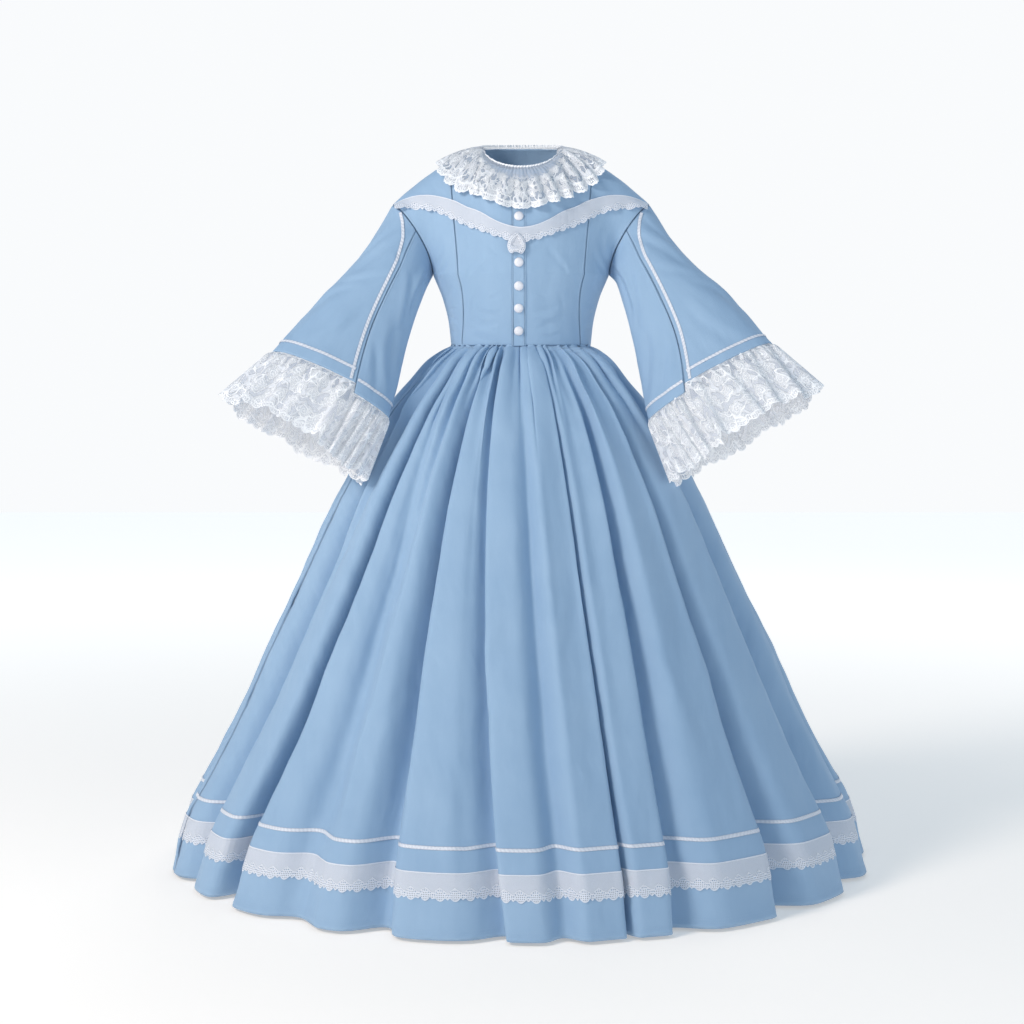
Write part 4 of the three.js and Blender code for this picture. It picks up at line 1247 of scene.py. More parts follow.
def stitches(name, points, normals):
    """One row of stitches along a line of points on the cloth."""
    length = run_length(points)
    starts = np.arange(0.0, length[-1] - STITCH, STITCH + STITCH_GAP)

    def on(at, values):
        return np.stack([np.interp(at, length, values[:, k]) for k in range(3)], axis=-1)

    a, b = on(starts, points), on(starts + STITCH, points)
    up = unit(on(starts + STITCH / 2, normals))
    side = unit(np.cross(up, b - a)) * THREAD / 2
    middle = (a + b) / 2
    corners = np.stack([
        a + 0.05 * up, middle + side, middle + up * THREAD * 0.9,
        middle - side, middle - up * 0.2, b + 0.05 * up,
    ], axis=1)
    pattern = [
        (0, 1, 2), (0, 2, 3), (0, 3, 4), (0, 4, 1),
        (5, 2, 1), (5, 3, 2), (5, 4, 3), (5, 1, 4),
    ]
    faces = (np.array(pattern)[None] + 6 * np.arange(len(starts))[:, None, None]).reshape(-1, 3)
    flat = corners.reshape(-1, 3)
    return build(name, flat, faces, flat * MM, BLUE_THREAD)


# %% Topstitching on the stand
stand_rows = np.arange(len(stand), dtype=float)
stand_laid = Laid(stand_raised, np.linspace(0, 1, stand.shape[1]), stand_rows)
stand_sewing = []
for k, place in enumerate((0.14, 0.86)):
    rows = np.linspace(1, len(stand) - 2, 300)
    line = stand_laid.at(place, rows, 0.05)
    above = stand_laid.at(place, rows, 1.05) - line
    stand_sewing.append(stitches(f"stand_stitching_{k + 1}", line, above))
declare(stand_piece, "button_stand", stand_raised, STAND_CUT,
        stand_sewing)

# %% [markdown]
# ## Hem ribbon and eyelet edging
# A narrow satin ribbon and a band of eyelet edging run round the skirt near the hem. They follow
# every fold. The edging's lower edge is cut in wide round scallops with small pointed ones
# between, so its grid is stretched down to that edge column by column.

# %% Scallops and the hem bands
HEM_RIBBON = (853.0, 859.0)
HEM_TRIM_TOP, HEM_TRIM_BASE = 893.0, 931.0
WIDE_SHARE = 0.66
HEM_TRIM_CUT = {"front": (2.48, 0.045), "back": (2.58, 0.045)}
RIBBON_WIDTH, RIBBON_WALL, RIBBON_CRIMP = 6.0, 0.4, 7.5


def scallops(s, period, depth):
    """How far an embroidered edge reaches below its base line at the length s."""
    f = (s / period) % 1
    wide = np.clip(f / WIDE_SHARE, 0, 1)
    small = np.clip((f - WIDE_SHARE) / (1 - WIDE_SHARE), 0, 1)
    round_one = np.sin(math.pi * wide) ** 0.6
    pointed = 0.72 * (1 - np.abs(2 * small - 1)) ** 0.8
    return depth * np.where(f < WIDE_SHARE, round_one, pointed)


def edging_cloth(along, below_top, below_low, width):
    """Cloth values of an edging: its length, its height over the tips, its nearest edge."""
    nearest = np.minimum(below_top, below_low)
    return cloth_values(along, width - below_top, nearest * MM)


def ribbon_cloth(length, shape):
    half_width = RIBBON_WIDTH / 2
    across = np.linspace(-1, 1, shape[0])[:, None] * half_width
    share = np.abs(across) / half_width
    crimp = length / RIBBON_CRIMP + 0.25 * across / half_width
    # Painted shade: darkest in the dips of the satin's crimp; the edges are darker as well.
    shadow = 0.5 + 0.5 * np.sin(2 * math.pi * crimp + math.pi)
    edge = np.clip((share - 0.72) / 0.2, 0, 1) * 0.4 + 0.6 * shadow**2
    return cloth_values(length, across, edge)

# %% Sewing the hem bands
def sew_hem_bands(half, laid, start, end):
    turns = np.linspace(start, end, int((end - start) * 104) + 1)[None, :]
    low_row = laid.at(turns, HEM_TRIM_BASE)[0]
    s = run_length(low_row)
    depth = scallops(s, SCALLOP / MM, TRIM_SCALLOP)
    down = mix(HEM_TRIM_BASE + depth[None, :], HEM_TRIM_TOP, np.linspace(0, 1, 12)[:, None])
    lift = 1.1 + 0.5 * np.sin(s / 11)[None, :] * ((down - HEM_TRIM_TOP) / 44) ** 2
    trim = laid.at(turns, down, lift)
    width = HEM_TRIM_BASE + TRIM_SCALLOP - HEM_TRIM_TOP
    cloth = edging_cloth(np.broadcast_to(s, down.shape), down - HEM_TRIM_TOP,
                         HEM_TRIM_BASE + depth[None, :] - down, width)
    edging = cloth_piece(f"hem_edging_{half}", trim, cloth, HEM_EYELET, 0)
    rows = np.linspace(HEM_RIBBON[1], HEM_RIBBON[0], 5)[:, None]
    middle = np.cos(math.pi * np.linspace(-0.5, 0.5, 5))[:, None]
    pucker = 0.9 + 0.25 * np.sin(s / 1.1)[None, :] * middle
    satin = laid.at(turns, rows, pucker)
    values = ribbon_cloth(s, satin.shape)
    ribbon = cloth_piece(f"hem_satin_{half}", satin, values, SATIN, RIBBON_WALL)
    declare(edging, f"hem_trim_{half}", trim, HEM_TRIM_CUT[half])
    print("hem bands", half, "length", metres(s[-1]), "m")
    return take_place(ribbon, f"hem_ribbon_{half}")


for half, (start, end) in SKIRT_TURNS.items():
    laid = SKIRT_LAID[half]
    sewing = [sew_hem_bands(half, laid, start, end)]
    for k, down in enumerate(HEM_STITCHING[::-1]):
        turns = np.linspace(start + 0.02, end - 0.02, 900)
        line = laid.at(turns, down, 0.05)
        above = laid.at(turns, down, 1.05) - line
        sewing.append(stitches(f"hem_stitching_{half}_{k + 1}", line, above))
    piece, grid = skirt_made[half]
    declare(piece, f"skirt_{half}", grid, SKIRT_CUT[half],
            sewing)

# %% [markdown]
# ## The sleeves
# A pagoda sleeve is narrow at the armhole and wide at the cuff. It has an upper and an under
# piece, with a seam down the front and one at the back. The surface starts on the armhole's own
# curve and takes the sleeve's oval section within the first third of its length.

# %% Sleeve surface
ARM_START = {"along": 0, "outX": 250, "outZ": -111, "inX": 171, "inZ": -248, "y": -4, "depth": 50}
SLEEVES = {
    "right": {"side": -1, "sections": [
        ARM_START,
        {"along": 0.3, "outX": 302, "outZ": -200, "inX": 182, "inZ": -270, "y": -28, "depth": 60},
        {"along": 0.64, "outX": 388, "outZ": -301, "inX": 223, "inZ": -397, "y": -84, "depth": 57},
        {"along": 1, "outX": 472, "outZ": -399, "inX": 250, "inZ": -521, "y": -156, "depth": 48},
    ]},
    "left": {"side": 1, "sections": [
        ARM_START,
        {"along": 0.3, "outX": 299, "outZ": -190, "inX": 183, "inZ": -261, "y": -28, "depth": 60},
        {"along": 0.64, "outX": 410, "outZ": -303, "inX": 224, "inZ": -418, "y": -84, "depth": 57},
        {"along": 1, "outX": 473, "outZ": -383, "inX": 240, "inZ": -525, "y": -156, "depth": 48},
    ]},
}
SLEEVE_SEAM = [
    {"along": 0, "seam": 90, "ribbon": 146},
    {"along": 0.05, "seam": 89, "ribbon": 122},
    {"along": 0.14, "seam": 87, "ribbon": 102},
    {"along": 0.3, "seam": 81, "ribbon": 90},
    {"along": 0.64, "seam": 74, "ribbon": 80},
    {"along": 1, "seam": 64, "ribbon": 70},
]
FRONT_RISE, ARMHOLE_BLEND, CUFF_STEP = 0.35, 0.34, 0.05
SLEEVE_LINES, FRONT_LINE, OUTER_LINE = 20, 5, 10


def armhole_point(turn, side):
    up = 1 + np.where(turn <= 180, turn, 360 - turn) / 180
    across = np.full(up.shape, float(side))
    front = bodice_point(across, up, FRONT)
    back = bodice_point(across, up, BACK)
    return np.where((turn <= 180)[..., None], front, back)


def sleeve_section(sleeve, turn, along):
    def at(column):
        return read(sleeve["sections"], "along", column, along)

    outer = stack(sleeve["side"] * at("outX"), at("y"), at("outZ"))
    inner = stack(sleeve["side"] * at("inX"), at("y"), at("inZ"))
    centre = (outer + inner) / 2
    depth = at("depth")
    forward = stack(0 * depth, -depth, FRONT_RISE * ease(along) * depth)
    angle = np.radians(turn)[..., None]
    return centre - (outer - centre) * np.cos(angle) + forward * np.sin(angle)


def sleeve_point(sleeve, turn, along):
    turn, along = np.broadcast_arrays(np.asarray(turn, float), np.asarray(along, float))
    turn = turn % 360
    start = armhole_point(turn, sleeve["side"])
    own = ease(along / ARMHOLE_BLEND)[..., None]
    shift = (start - sleeve_section(sleeve, turn, 0 * along)) * (1 - own)
    return sleeve_section(sleeve, turn, along) + shift


def line_round(line, along):
    seam_at = read(SLEEVE_SEAM, "along", "seam", along)
    line = np.asarray(line, float)
    upper = mix(seam_at, 180, (line - FRONT_LINE) / (OUTER_LINE - FRONT_LINE))
    under = mix(0, seam_at, line / FRONT_LINE)
    rest = 360 * line / SLEEVE_LINES
    in_front = np.where(line <= FRONT_LINE, under, upper)
    return np.where((line < 0) | (line > OUTER_LINE), rest, in_front)


def hem_rise(line):
    """The upper sleeve's hem rises a little towards the front seam."""
    to_outer = OUTER_LINE - np.asarray(line, float)
    return CUFF_STEP * np.clip(to_outer / (OUTER_LINE - FRONT_LINE), 0, 1)


# %% [markdown]
# ## Sleeve cloth
# The creases of a hanging sleeve run from the top of the arm down to the elbow, and a deep fold
# forms under the arm, where the cloth has nowhere to go. The upper hem rises towards the front
# seam. Both edges, the armhole and the hem are sewn.

# %% Sleeve panels
UPPER_MARKS = [
    (96, 330, 40, 214, 10, 10, 2.4),
    (52, 356, 10, 262, -8, 9, 1.8),
    (104, 236, 16, 188, -9, 9, 1.9),
    (70, 190, -6, 96, 12, 12, 2.6),
    (112, 150, 60, 20, -10, 12, 2.6),
    (28, 150, 6, 26, 9, 12, 2.2),
    (-40, 320, -70, 180, 9, 11, 2.4),
    (-92, 240, -60, 90, -10, 12, 2.4),
    (-20, 230, -44, 60, 10, 12, 2.2),
    (84, 288, 112, 262, 3, 5, 1.4),
]
UNDER_MARKS = [
    (-26, 318, -34, 206, 7, 7, 5.0),
    (-70, 286, -44, 170, -6, 8, 2.6),
    (-58, 178, -30, 40, 9, 11, 3.2),
    (-96, 120, -76, 14, -7, 10, 2.2),
    (4, 250, 12, 90, 8, 11, 3.0),
    (50, 270, 44, 120, -8, 10, 2.6),
    (84, 200, 60, 50, 7, 10, 2.4),
    (-8, 120, 10, 16, -6, 10, 2.2),
]

# %% Sewing the sleeves
SLEEVE_ROWS, SLEEVE_COLUMNS = 84, 96
SLEEVE_LAID = {}


def sew_sleeve(name, half):
    sleeve = SLEEVES[name]
    first = FRONT_LINE if half == "upper" else -FRONT_LINE
    lines = first + 10 * dense_ends(SLEEVE_COLUMNS, 0.5)
    rows = np.linspace(1, 0, SLEEVE_ROWS)
    rise = hem_rise(lines) if half == "upper" else 0 * lines
    along = rows[:, None] * (1 - rise[None, :])
    turn = line_round(np.broadcast_to(lines, along.shape), along)
    grid = sleeve_point(sleeve, turn, along)
    outward = sleeve["side"]
    normals = grid_normals(grid) * outward
    across, up = laid_flat(grid)
    marks = UPPER_MARKS if half == "upper" else UNDER_MARKS
    x = -across
    if name == "left":
        marks = [
            (x0, y0 * 1.02 + 4, x1, y1, bend * 0.7, width * 1.1, depth * 0.95)
            for x0, y0, x1, y1, bend, width, depth in marks
        ]
    height = creases(x, up, marks) + slow_waves(x, up, 80, 1.1, first + outward)
    left, right = across - across[:, :1], across[:, -1:] - across
    height = height * np.clip(np.minimum(left, right) / 14, 0.15, 1)
    height = height + seam(left, up, 0.5) + seam(right, up, 0.5)
    to_armhole = up[-1:] - up
    height = height * np.clip(to_armhole / 26, 0, 1) + seam(to_armhole, across, 0.3)
    height = height + 0.35 * np.sin(across / 2.4 + np.sin(across / 19)) * bell(up, 6)
    # Painted shade in the two seams and the armhole seam, with wear beside them.
    shade = seam_shade(left) + seam_shade(right) + seam_shade(to_armhole)
    grid = grid + normals * height[..., None]
    SLEEVE_LAID[name, half] = Laid(grid, lines, rows, outward)
    cloth = cloth_values(across, up, shade)
    if outward < 0:
        grid, cloth = grid[:, ::-1], cloth[:, ::-1]
    piece = cloth_piece(f"sleeve_{half}_{name}_cloth", grid, cloth, BLUE)
    print("sleeve", half, name, "widest", metres(across[0, -1] * 2), "m, length",
          metres(up[-1].max()), "m")
    return piece, grid


sleeve_made = {}
for name in SLEEVES:
    for half in ("upper", "under"):
        sleeve_made[name, half] = sew_sleeve(name, half)

# %% [markdown]
# ## Sleeve ribbons
# One satin ribbon curves from the shoulder beside the front seam down to the cuff, and one runs
# round the sleeve above the hem. Each is sewn down its middle, so it is dimpled there.

# %% Ribbons on the sleeves
CUFF_RIBBON_ROW, CUFF_RIBBON_COLUMNS = 0.93, 320
RIBBON_LIFT = 0.9


def satin_strip(name, node, laid, lines, rows, facing):
    """A ribbon whose middle runs through the given places; it is widened across its own run."""
    middle = laid.at(lines, rows)
    upward = unit(laid.at(lines, rows, 1.0) - middle)
    onward = unit(np.gradient(middle, axis=0))
    across = np.cross(upward, onward) * facing
    s = run_length(middle)
    share = np.linspace(-1, 1, 7)[:, None]
    crimp = np.sin(2 * math.pi * (s / RIBBON_CRIMP + 0.25 * share))
    dimple = RIBBON_LIFT + 0.45 * crimp * (1 - 0.6 * share**2)
    grid = middle[None] + across[None] * share[..., None] * RIBBON_WIDTH / 2
    grid = grid + upward[None] * dimple[..., None]
    piece = cloth_piece(name, grid, ribbon_cloth(s, grid.shape), SATIN, RIBBON_WALL)
    print(name, "length", metres(s[-1]), "m")
    return take_place(piece, node)


def sew_sleeve_ribbons(name):
    side = SLEEVES[name]["side"]
    upper, under = SLEEVE_LAID[name, "upper"], SLEEVE_LAID[name, "under"]
    along = np.linspace(0.945, 0.012, 260)
    turn = read(SLEEVE_SEAM, "along", "ribbon", along)
    seam_at = read(SLEEVE_SEAM, "along", "seam", along)
    line = FRONT_LINE + (OUTER_LINE - FRONT_LINE) * (turn - seam_at) / (180 - seam_at)
    rows = along / (1 - hem_rise(line))
    sewn = {"upper": [], "under": []}
    sewn["upper"].append(satin_strip(
        f"seam_satin_{name}", f"sleeve_ribbon_{name}", upper, line, rows, side,
    ))
    ends = (("upper", upper, line[0] - 0.1, 14.95), ("under", under, -4.95, 4.92))
    for half, laid, start, end in ends:
        lines = np.linspace(start, end, CUFF_RIBBON_COLUMNS)[::-1]
        sewn[half].append(satin_strip(
            f"cuff_satin_{half}_{name}", f"cuff_ribbon_{half}_{name}", laid, lines,
            CUFF_RIBBON_ROW, side,
        ))
    return sewn


SLEEVE_CUT = {"upper": (0.365, 0.41), "under": (0.25, 0.40)}
for name in SLEEVES:
    sewn = sew_sleeve_ribbons(name)
    for half in ("upper", "under"):
        piece, grid = sleeve_made[name, half]
        declare(piece, f"sleeve_{half}_{name}", grid, SLEEVE_CUT[half],
                sewn[half])

# %% [markdown]
# ## Lace cuffs
# A straight strip of lace, half as long again as the sleeve's hem, is gathered onto it. The
# gathers are small at the seam and open out towards the scalloped edge. They are all a little
# different in width and depth: even waves are what makes gathered lace look like a machine part.

# %% Cuff lace
CUFF_WAVES, CUFF_WAVE_SWING, CUFF_WAVE_AT_SEAM = 19, 8.5, 0.14
CUFF_LACE_DEPTH, CUFF_FLARE = 132.0, 0.2
CUFF_FALL = (0.56, -0.2, -0.82)
CUFF_SCALLOP, CUFF_SCALLOP_DEPTH = 21.0, 7.0
LACE_OVERLAP = 0.12
WAVE_SIZE = 1 + chance.uniform(-0.75, 0.45, CUFF_WAVES)
WAVE_SHIFT = chance.uniform(-0.4, 0.4, CUFF_WAVES)
CUFF_UNEVEN = 4.0
CUFF_LACE_CUT = {"upper": (0.56, 0.14), "under": (0.475, 0.14)}


def cuff_lace_point(sleeve, line, drop, on_upper):
    """A point of the lace: drop is in millimetres below the sleeve's hem."""
    side = sleeve["side"]
    past_seam = np.clip((line - FRONT_LINE + LACE_OVERLAP) / LACE_OVERLAP, 0, 1)
    along = 1 - (hem_rise(np.maximum(line, FRONT_LINE)) * past_seam if on_upper else 0 * line)
    turn = line_round(line, along)
    hem = sleeve_point(sleeve, turn, along)
    end = sleeve["sections"][-1]
    angle = np.radians(turn)
    run, rise = end["outX"] - end["inX"], end["outZ"] - end["inZ"]
    width = math.hypot(run, rise) / 2
    across = np.array((side * run, 0, rise)) / (2 * width)
    forward = unit(np.array((0, -1, FRONT_RISE)))
    out = unit(
        -across * (np.cos(angle) / width)[..., None]
        + forward * (np.sin(angle) / end["depth"])[..., None]
    )
    fall = unit(np.array(CUFF_FALL) * (side, 1, 1) + out * CUFF_FLARE)
    share = np.clip(drop / CUFF_LACE_DEPTH, 0, 1.1)
    place = CUFF_WAVES * line / SLEEVE_LINES
    place = place + between(WAVE_SHIFT, place) * share
    wave = np.cos(2 * math.pi * place)
    wave = np.sign(wave) * np.abs(wave) ** 0.8
    swing = CUFF_WAVE_SWING * between(WAVE_SIZE, place) * mix(CUFF_WAVE_AT_SEAM, 1, share**0.8)
    fine = 1.1 * np.sin(2 * math.pi * 3.3 * place + 1.0) * bell(share - 0.08, 0.2)
    sway = 3.5 * np.sin(2 * math.pi * place + 1.2 + 2.0 * between(WAVE_SHIFT, place)) * share
    puff = 6.0 * np.clip(share, 0, 1) ** 0.5 * np.exp(-share / 0.4)
    inside = puff - 3.4 * bell(drop, 4)
    sideways = unit(np.cross(out, fall))
    return (hem + fall * drop[..., None] + out * (swing * wave + fine + inside)[..., None]
            + sideways * (sway * side)[..., None])

# %% Sewing the cuffs
def lace_cloth(s, drop, edge):
    """Cloth values of a lace: its length, its height over the edge, its distance from the top."""
    return cloth_values(s, edge - drop, (drop - drop.min()) * MM)


def sew_cuff_lace(name, half):
    sleeve = SLEEVES[name]
    first = FRONT_LINE if half == "upper" else -FRONT_LINE
    lines = np.linspace(first - LACE_OVERLAP, first + 10 - 0.02, 300)
    full_depth = np.full(lines.shape, CUFF_LACE_DEPTH)
    edge_row = cuff_lace_point(sleeve, lines, full_depth, half == "upper")
    s = run_length(edge_row)
    notch = CUFF_SCALLOP_DEPTH * np.abs(np.sin(math.pi * s / CUFF_SCALLOP)) ** 0.55
    picot = 1.0 * np.abs(np.sin(math.pi * s / (CUFF_SCALLOP / 5)))
    uneven = CUFF_UNEVEN * (np.sin(s / 27 + first) + 0.6 * np.sin(s / 11 + 2 * first) - 1)
    edge = CUFF_LACE_DEPTH - CUFF_SCALLOP_DEPTH + notch + picot + uneven
    share = np.linspace(1, 0, 36)[:, None]
    drop = mix(-1.5, edge[None, :], share)
    grid = cuff_lace_point(sleeve, np.broadcast_to(lines, drop.shape), drop, half == "upper")
    cloth = lace_cloth(s[None, :], drop, edge[None, :])
    if sleeve["side"] < 0:
        grid, cloth = grid[:, ::-1], cloth[:, ::-1]
    piece = cloth_piece(f"cuff_{half}_{name}_lace", grid, cloth, CUFF_LACE, 0)
    print("cuff lace", half, name, "length", metres(s[-1]), "m")
    declare(piece, f"cuff_lace_{half}_{name}", grid, CUFF_LACE_CUT[half])


for name in SLEEVES:
    for half in ("upper", "under"):
        sew_cuff_lace(name, half)

# %% [markdown]
# ## The lace collar
# The collar is one long strip gathered round the neck. Above the seam it stands up as a tiny
# frill. Below, it lies on the bodice and ends in round lobes, one on each gather's crest. It is
# sheer near the neck, where the net has few flowers, and dense at the edge.

# %% Collar
COLLAR_WAVES, COLLAR_HEAD, COLLAR_SWING = 28, 6.0, 5.0
COLLAR_LIFT, COLLAR_SEAM_LIFT, COLLAR_LIFT_BEND = 9.5, 3.0, 0.35
COLLAR_DEPTH = 92.0
COLLAR_EDGE = [
    {"turn": 0, "share": 0, "up": 1.59},
    {"turn": 17, "share": 0.16, "up": 1.575},
    {"turn": 30, "share": 0.28, "up": 1.535},
    {"turn": 38, "share": 0.37, "up": 1.53},
    {"turn": 49, "share": 0.48, "up": 1.57},
    {"turn": 58, "share": 0.57, "up": 1.63},
    {"turn": 67, "share": 0.63, "up": 1.71},
    {"turn": 78, "share": 0.66, "up": 1.84},
    {"turn": 90, "share": 0.66, "up": 2},
]
COLLAR_SIZE = 1 + chance.uniform(-0.4, 0.3, COLLAR_WAVES)
COLLAR_LOBE = 1 + chance.uniform(-0.35, 0.25, COLLAR_WAVES)


def collar_point(turn, out):
    turn, out = np.broadcast_arrays(np.asarray(turn, float), np.asarray(out, float))
    whole = turn % 360
    sign = np.where(whole > 180, -1.0, 1.0)
    half = np.where(whole > 180, 360 - whole, whole)
    front = half <= 90
    quarter = np.where(front, half, 180 - half)
    open_out = np.maximum(out, 0)
    share = mix(NECK_SHARE * quarter / 90, read(COLLAR_EDGE, "turn", "share", quarter), open_out)
    up = mix(2.0, read(COLLAR_EDGE, "turn", "up", quarter), open_out)
    at = np.minimum(up, NEAR_TOP_UP)
    base = np.where(
        front[..., None],
        bodice_front(sign * share, up), bodice_back(-sign * share, up),
    )
    normal = np.where(
        front[..., None],
        normal_on(bodice_front, sign * share, at), normal_on(bodice_back, -sign * share, at),
    )
    place = COLLAR_WAVES * turn / 360
    wave = np.cos(2 * math.pi * place)
    swing = COLLAR_SWING * between(COLLAR_SIZE, place % COLLAR_WAVES)
    swing = swing * np.minimum(1.2 * open_out, 1)
    fine = 0.8 * np.sin(2 * math.pi * 3 * place) * bell(open_out - 0.08, 0.16)
    rise = mix(COLLAR_SEAM_LIFT, COLLAR_LIFT, open_out**COLLAR_LIFT_BEND)
    head = np.maximum(-out, 0)
    outward = stack(np.sin(np.radians(turn)), -np.cos(np.radians(turn)), 0 * turn)
    frill = head * (1.2 * wave + 1.1 * np.sin(2 * math.pi * 3 * place + 0.6))
    point = base + normal * (rise + swing * wave + fine)[..., None]
    return point + outward * frill[..., None] + stack(0 * head, 0 * head, COLLAR_HEAD * head)

# %% Collar piece
COLLAR_COLUMNS = COLLAR_WAVES * 24
collar_turns = np.linspace(-180, 180, COLLAR_COLUMNS + 1)
collar_place = COLLAR_WAVES * collar_turns / 360
lobe = np.abs(np.cos(math.pi * collar_place)) ** 0.55
lobe = lobe * between(COLLAR_LOBE, collar_place % COLLAR_WAVES)
small_lobe = np.abs(np.sin(5 * math.pi * collar_place))
collar_edge = 0.93 + 0.085 * lobe + 0.012 * small_lobe
collar_rows = np.concatenate([np.linspace(1, 0, 34), [-0.33, -0.66, -1.0]])[:, None]
collar_outs = np.where(collar_rows > 0, collar_rows * collar_edge[None, :], collar_rows)
collar_grid = collar_point(collar_turns[None, :], collar_outs)
collar_run = run_length(collar_grid[0])
collar_up = (collar_edge[None, :] - collar_outs) * COLLAR_DEPTH
collar_top = (collar_outs + 1) * COLLAR_HEAD
collar_cloth = cloth_values(collar_run, collar_up, collar_top * MM)
collar_piece = cloth_piece("gathered_collar_lace", collar_grid, collar_cloth, COLLAR_LACE, 0)
COLLAR_CUT = (1.42, 0.10)
print("collar length", metres(collar_run[-1]), "m")
declare(collar_piece, "collar_lace", collar_grid, COLLAR_CUT)

# %% [markdown]
# ## The V of eyelet edging
# The same edging, narrower, is laid in a V over the front and back. Its folded upper edge is
# sewn down, and its scalloped edge is free, so it ruffles a little, most of all where it turns
# over the shoulders.

# %% V-shaped edging
V_FRONT = [
    {"share": 0, "low": 1.305, "high": 1.44},
    {"share": 0.15, "low": 1.32, "high": 1.447},
    {"share": 0.30, "low": 1.325, "high": 1.452},
    {"share": 0.42, "low": 1.345, "high": 1.47},
    {"share": 0.55, "low": 1.40, "high": 1.535},
    {"share": 0.68, "low": 1.475, "high": 1.615},
    {"share": 0.80, "low": 1.555, "high": 1.715},
    {"share": 0.92, "low": 1.67, "high": 1.85},
    {"share": 1, "low": 1.79, "high": 1.955},
]
V_BACK = [
    {"share": 0, "low": 1.36, "high": 1.50},
    {"share": 0.36, "low": 1.40, "high": 1.54},
    {"share": 0.64, "low": 1.50, "high": 1.64},
    {"share": 0.85, "low": 1.66, "high": 1.80},
    {"share": 1, "low": 1.80, "high": 1.95},
]
V_LIFT, V_LIFT_AT_STAND, V_LIFT_BACK = 2.4, 3.6, 5.2
V_SCALLOP_SHARE = 0.17
V_RUFFLE = 3.4
V_TIP = 13.0

# %% Sewing the V
def sew_v(name, node, table, surface, ends, columns, cut, back=False):
    across = np.linspace(*ends, columns)
    share = np.abs(across)
    low, high = read(table, "share", "low", share), read(table, "share", "high", share)
    s = run_length(surface(across, low))
    tall = np.linalg.norm(surface(across, high) - surface(across, low), axis=-1)
    depth = scallops(s, V_SCALLOP, V_SCALLOP_DEPTH)
    heights = np.linspace(0, 1, 16)[:, None]
    base = V_SCALLOP_SHARE * tall
    place = mix((base - depth)[None, :], tall[None, :], heights)
    up = low + (high - low) * place / tall
    grid_across = np.broadcast_to(across, up.shape)
    points = surface(grid_across, up)
    off_centre = np.abs(points[..., 0] - BUTTON_X) - 16
    lift = V_LIFT_BACK if back else mix(V_LIFT_AT_STAND, V_LIFT, ease(off_centre / 20))
    free = np.clip(1 - place / tall, 0, None)
    ruffle = np.sin(s / 9.5 + 1.3 * np.sin(s / 37))[None, :]
    ruffle = V_RUFFLE * (0.35 + share[None, :] ** 3) * ruffle
    lift = lift + (ruffle + 1.2) * free**1.6
    grid = points + normal_on(surface, grid_across, np.minimum(up, NEAR_TOP_UP)) * lift[..., None]
    grid[..., 0] += np.sign(grid[..., 0]) * V_TIP * share[None, :] ** 12 * free
    cloth = edging_cloth(s, tall - place, place - place[:1], tall)
    piece = cloth_piece(name, grid, cloth, V_EYELET, 0)
    print(name, "length", metres(s[-1]), "m, wide", metres(tall.mean()), "m")
    declare(piece, node, grid, cut)


sew_v("v_edging_right", "v_trim_front_right", V_FRONT, bodice_front, (-0.995, 0.004), 300,
      (0.28, 0.042))
sew_v("v_edging_left", "v_trim_front_left", V_FRONT, bodice_front, (0.004, 0.995), 300,
      (0.28, 0.042))
sew_v("v_edging_back", "v_trim_back", V_BACK, bodice_back, (-0.995, 0.995), 520,
      (0.53, 0.044), back=True)

# %% [markdown]
# ## The fold at the point of the V
# Where the edging turns at the point of the V, its spare cloth hangs down in a small round fold
# with a dark drop-shaped mouth and two lobes at the bottom. The fold is a ring of cloth, swept
# from the mouth out to the edge and puffed between them.

# %% Fold of the V
FOLD_MOUTH = [
    (0, -3), (3.5, -9), (7.5, -15), (9, -20), (6, -23), (0, -24),
    (-6, -23), (-10.5, -19.5), (-6, -12),
]
FOLD_EDGE = [
    (0, 3), (8, -3), (14, -11), (16, -20), (15, -29), (9, -37), (3, -34.5),
    (-4, -33), (-10, -36), (-15, -32.5), (-18, -22), (-15, -10), (-8, -2),
]
FOLD_TOP_Z, FOLD_X = -174.0, -8.0
FOLD_UP, FOLD_RADIUS = 1.34, 16
FOLD_CUT = (0.045, 0.045)


def smooth_ring(corners, count):
    ring = np.array(corners, float)
    t = np.linspace(0, len(ring), count, endpoint=False)
    i = np.floor(t).astype(int)
    f = (t - i)[:, None]
    p = [ring[(i + k) % len(ring)] for k in (-1, 0, 1, 2)]
    return 0.5 * (
        2 * p[1] + (p[2] - p[0]) * f + (2 * p[0] - 5 * p[1] + 4 * p[2] - p[3]) * f**2
        + (3 * p[1] - p[0] - 3 * p[2] + p[3]) * f**3
    )


def by_direction(ring, centre, angles):
    """The ring's radius in each direction from the centre."""
    away = ring - centre
    turn = np.arctan2(away[:, 0], away[:, 1])
    order = np.argsort(turn)
    return np.interp(angles, turn[order], np.linalg.norm(away, axis=1)[order], period=2 * math.pi)

# %% Fold piece
fold_centre = np.array((-0.5, -16.0))
fold_angles = np.linspace(-math.pi, math.pi, 97)
mouth = by_direction(smooth_ring(FOLD_MOUTH, 200), fold_centre, fold_angles)
rim = by_direction(smooth_ring(FOLD_EDGE, 400), fold_centre, fold_angles)
ring_share = np.linspace(0, 1, 26)[:, None]
radius = np.where(
    ring_share < 0.4, mouth[None, :] * ring_share / 0.4,
    mix(mouth[None, :], rim[None, :], (ring_share - 0.4) / 0.6),
)
past_mouth = np.clip((ring_share - 0.34) / 0.66, 0, 1)
puff = np.where(ring_share < 0.34, 0.4, 3.6 * np.sin(math.pi * past_mouth) ** 0.55)
puff = puff + 0.6 * (1 - ring_share)
fold_x = FOLD_X + fold_centre[0] + radius * np.sin(fold_angles)[None, :]
fold_z = FOLD_TOP_Z + fold_centre[1] + radius * np.cos(fold_angles)[None, :]
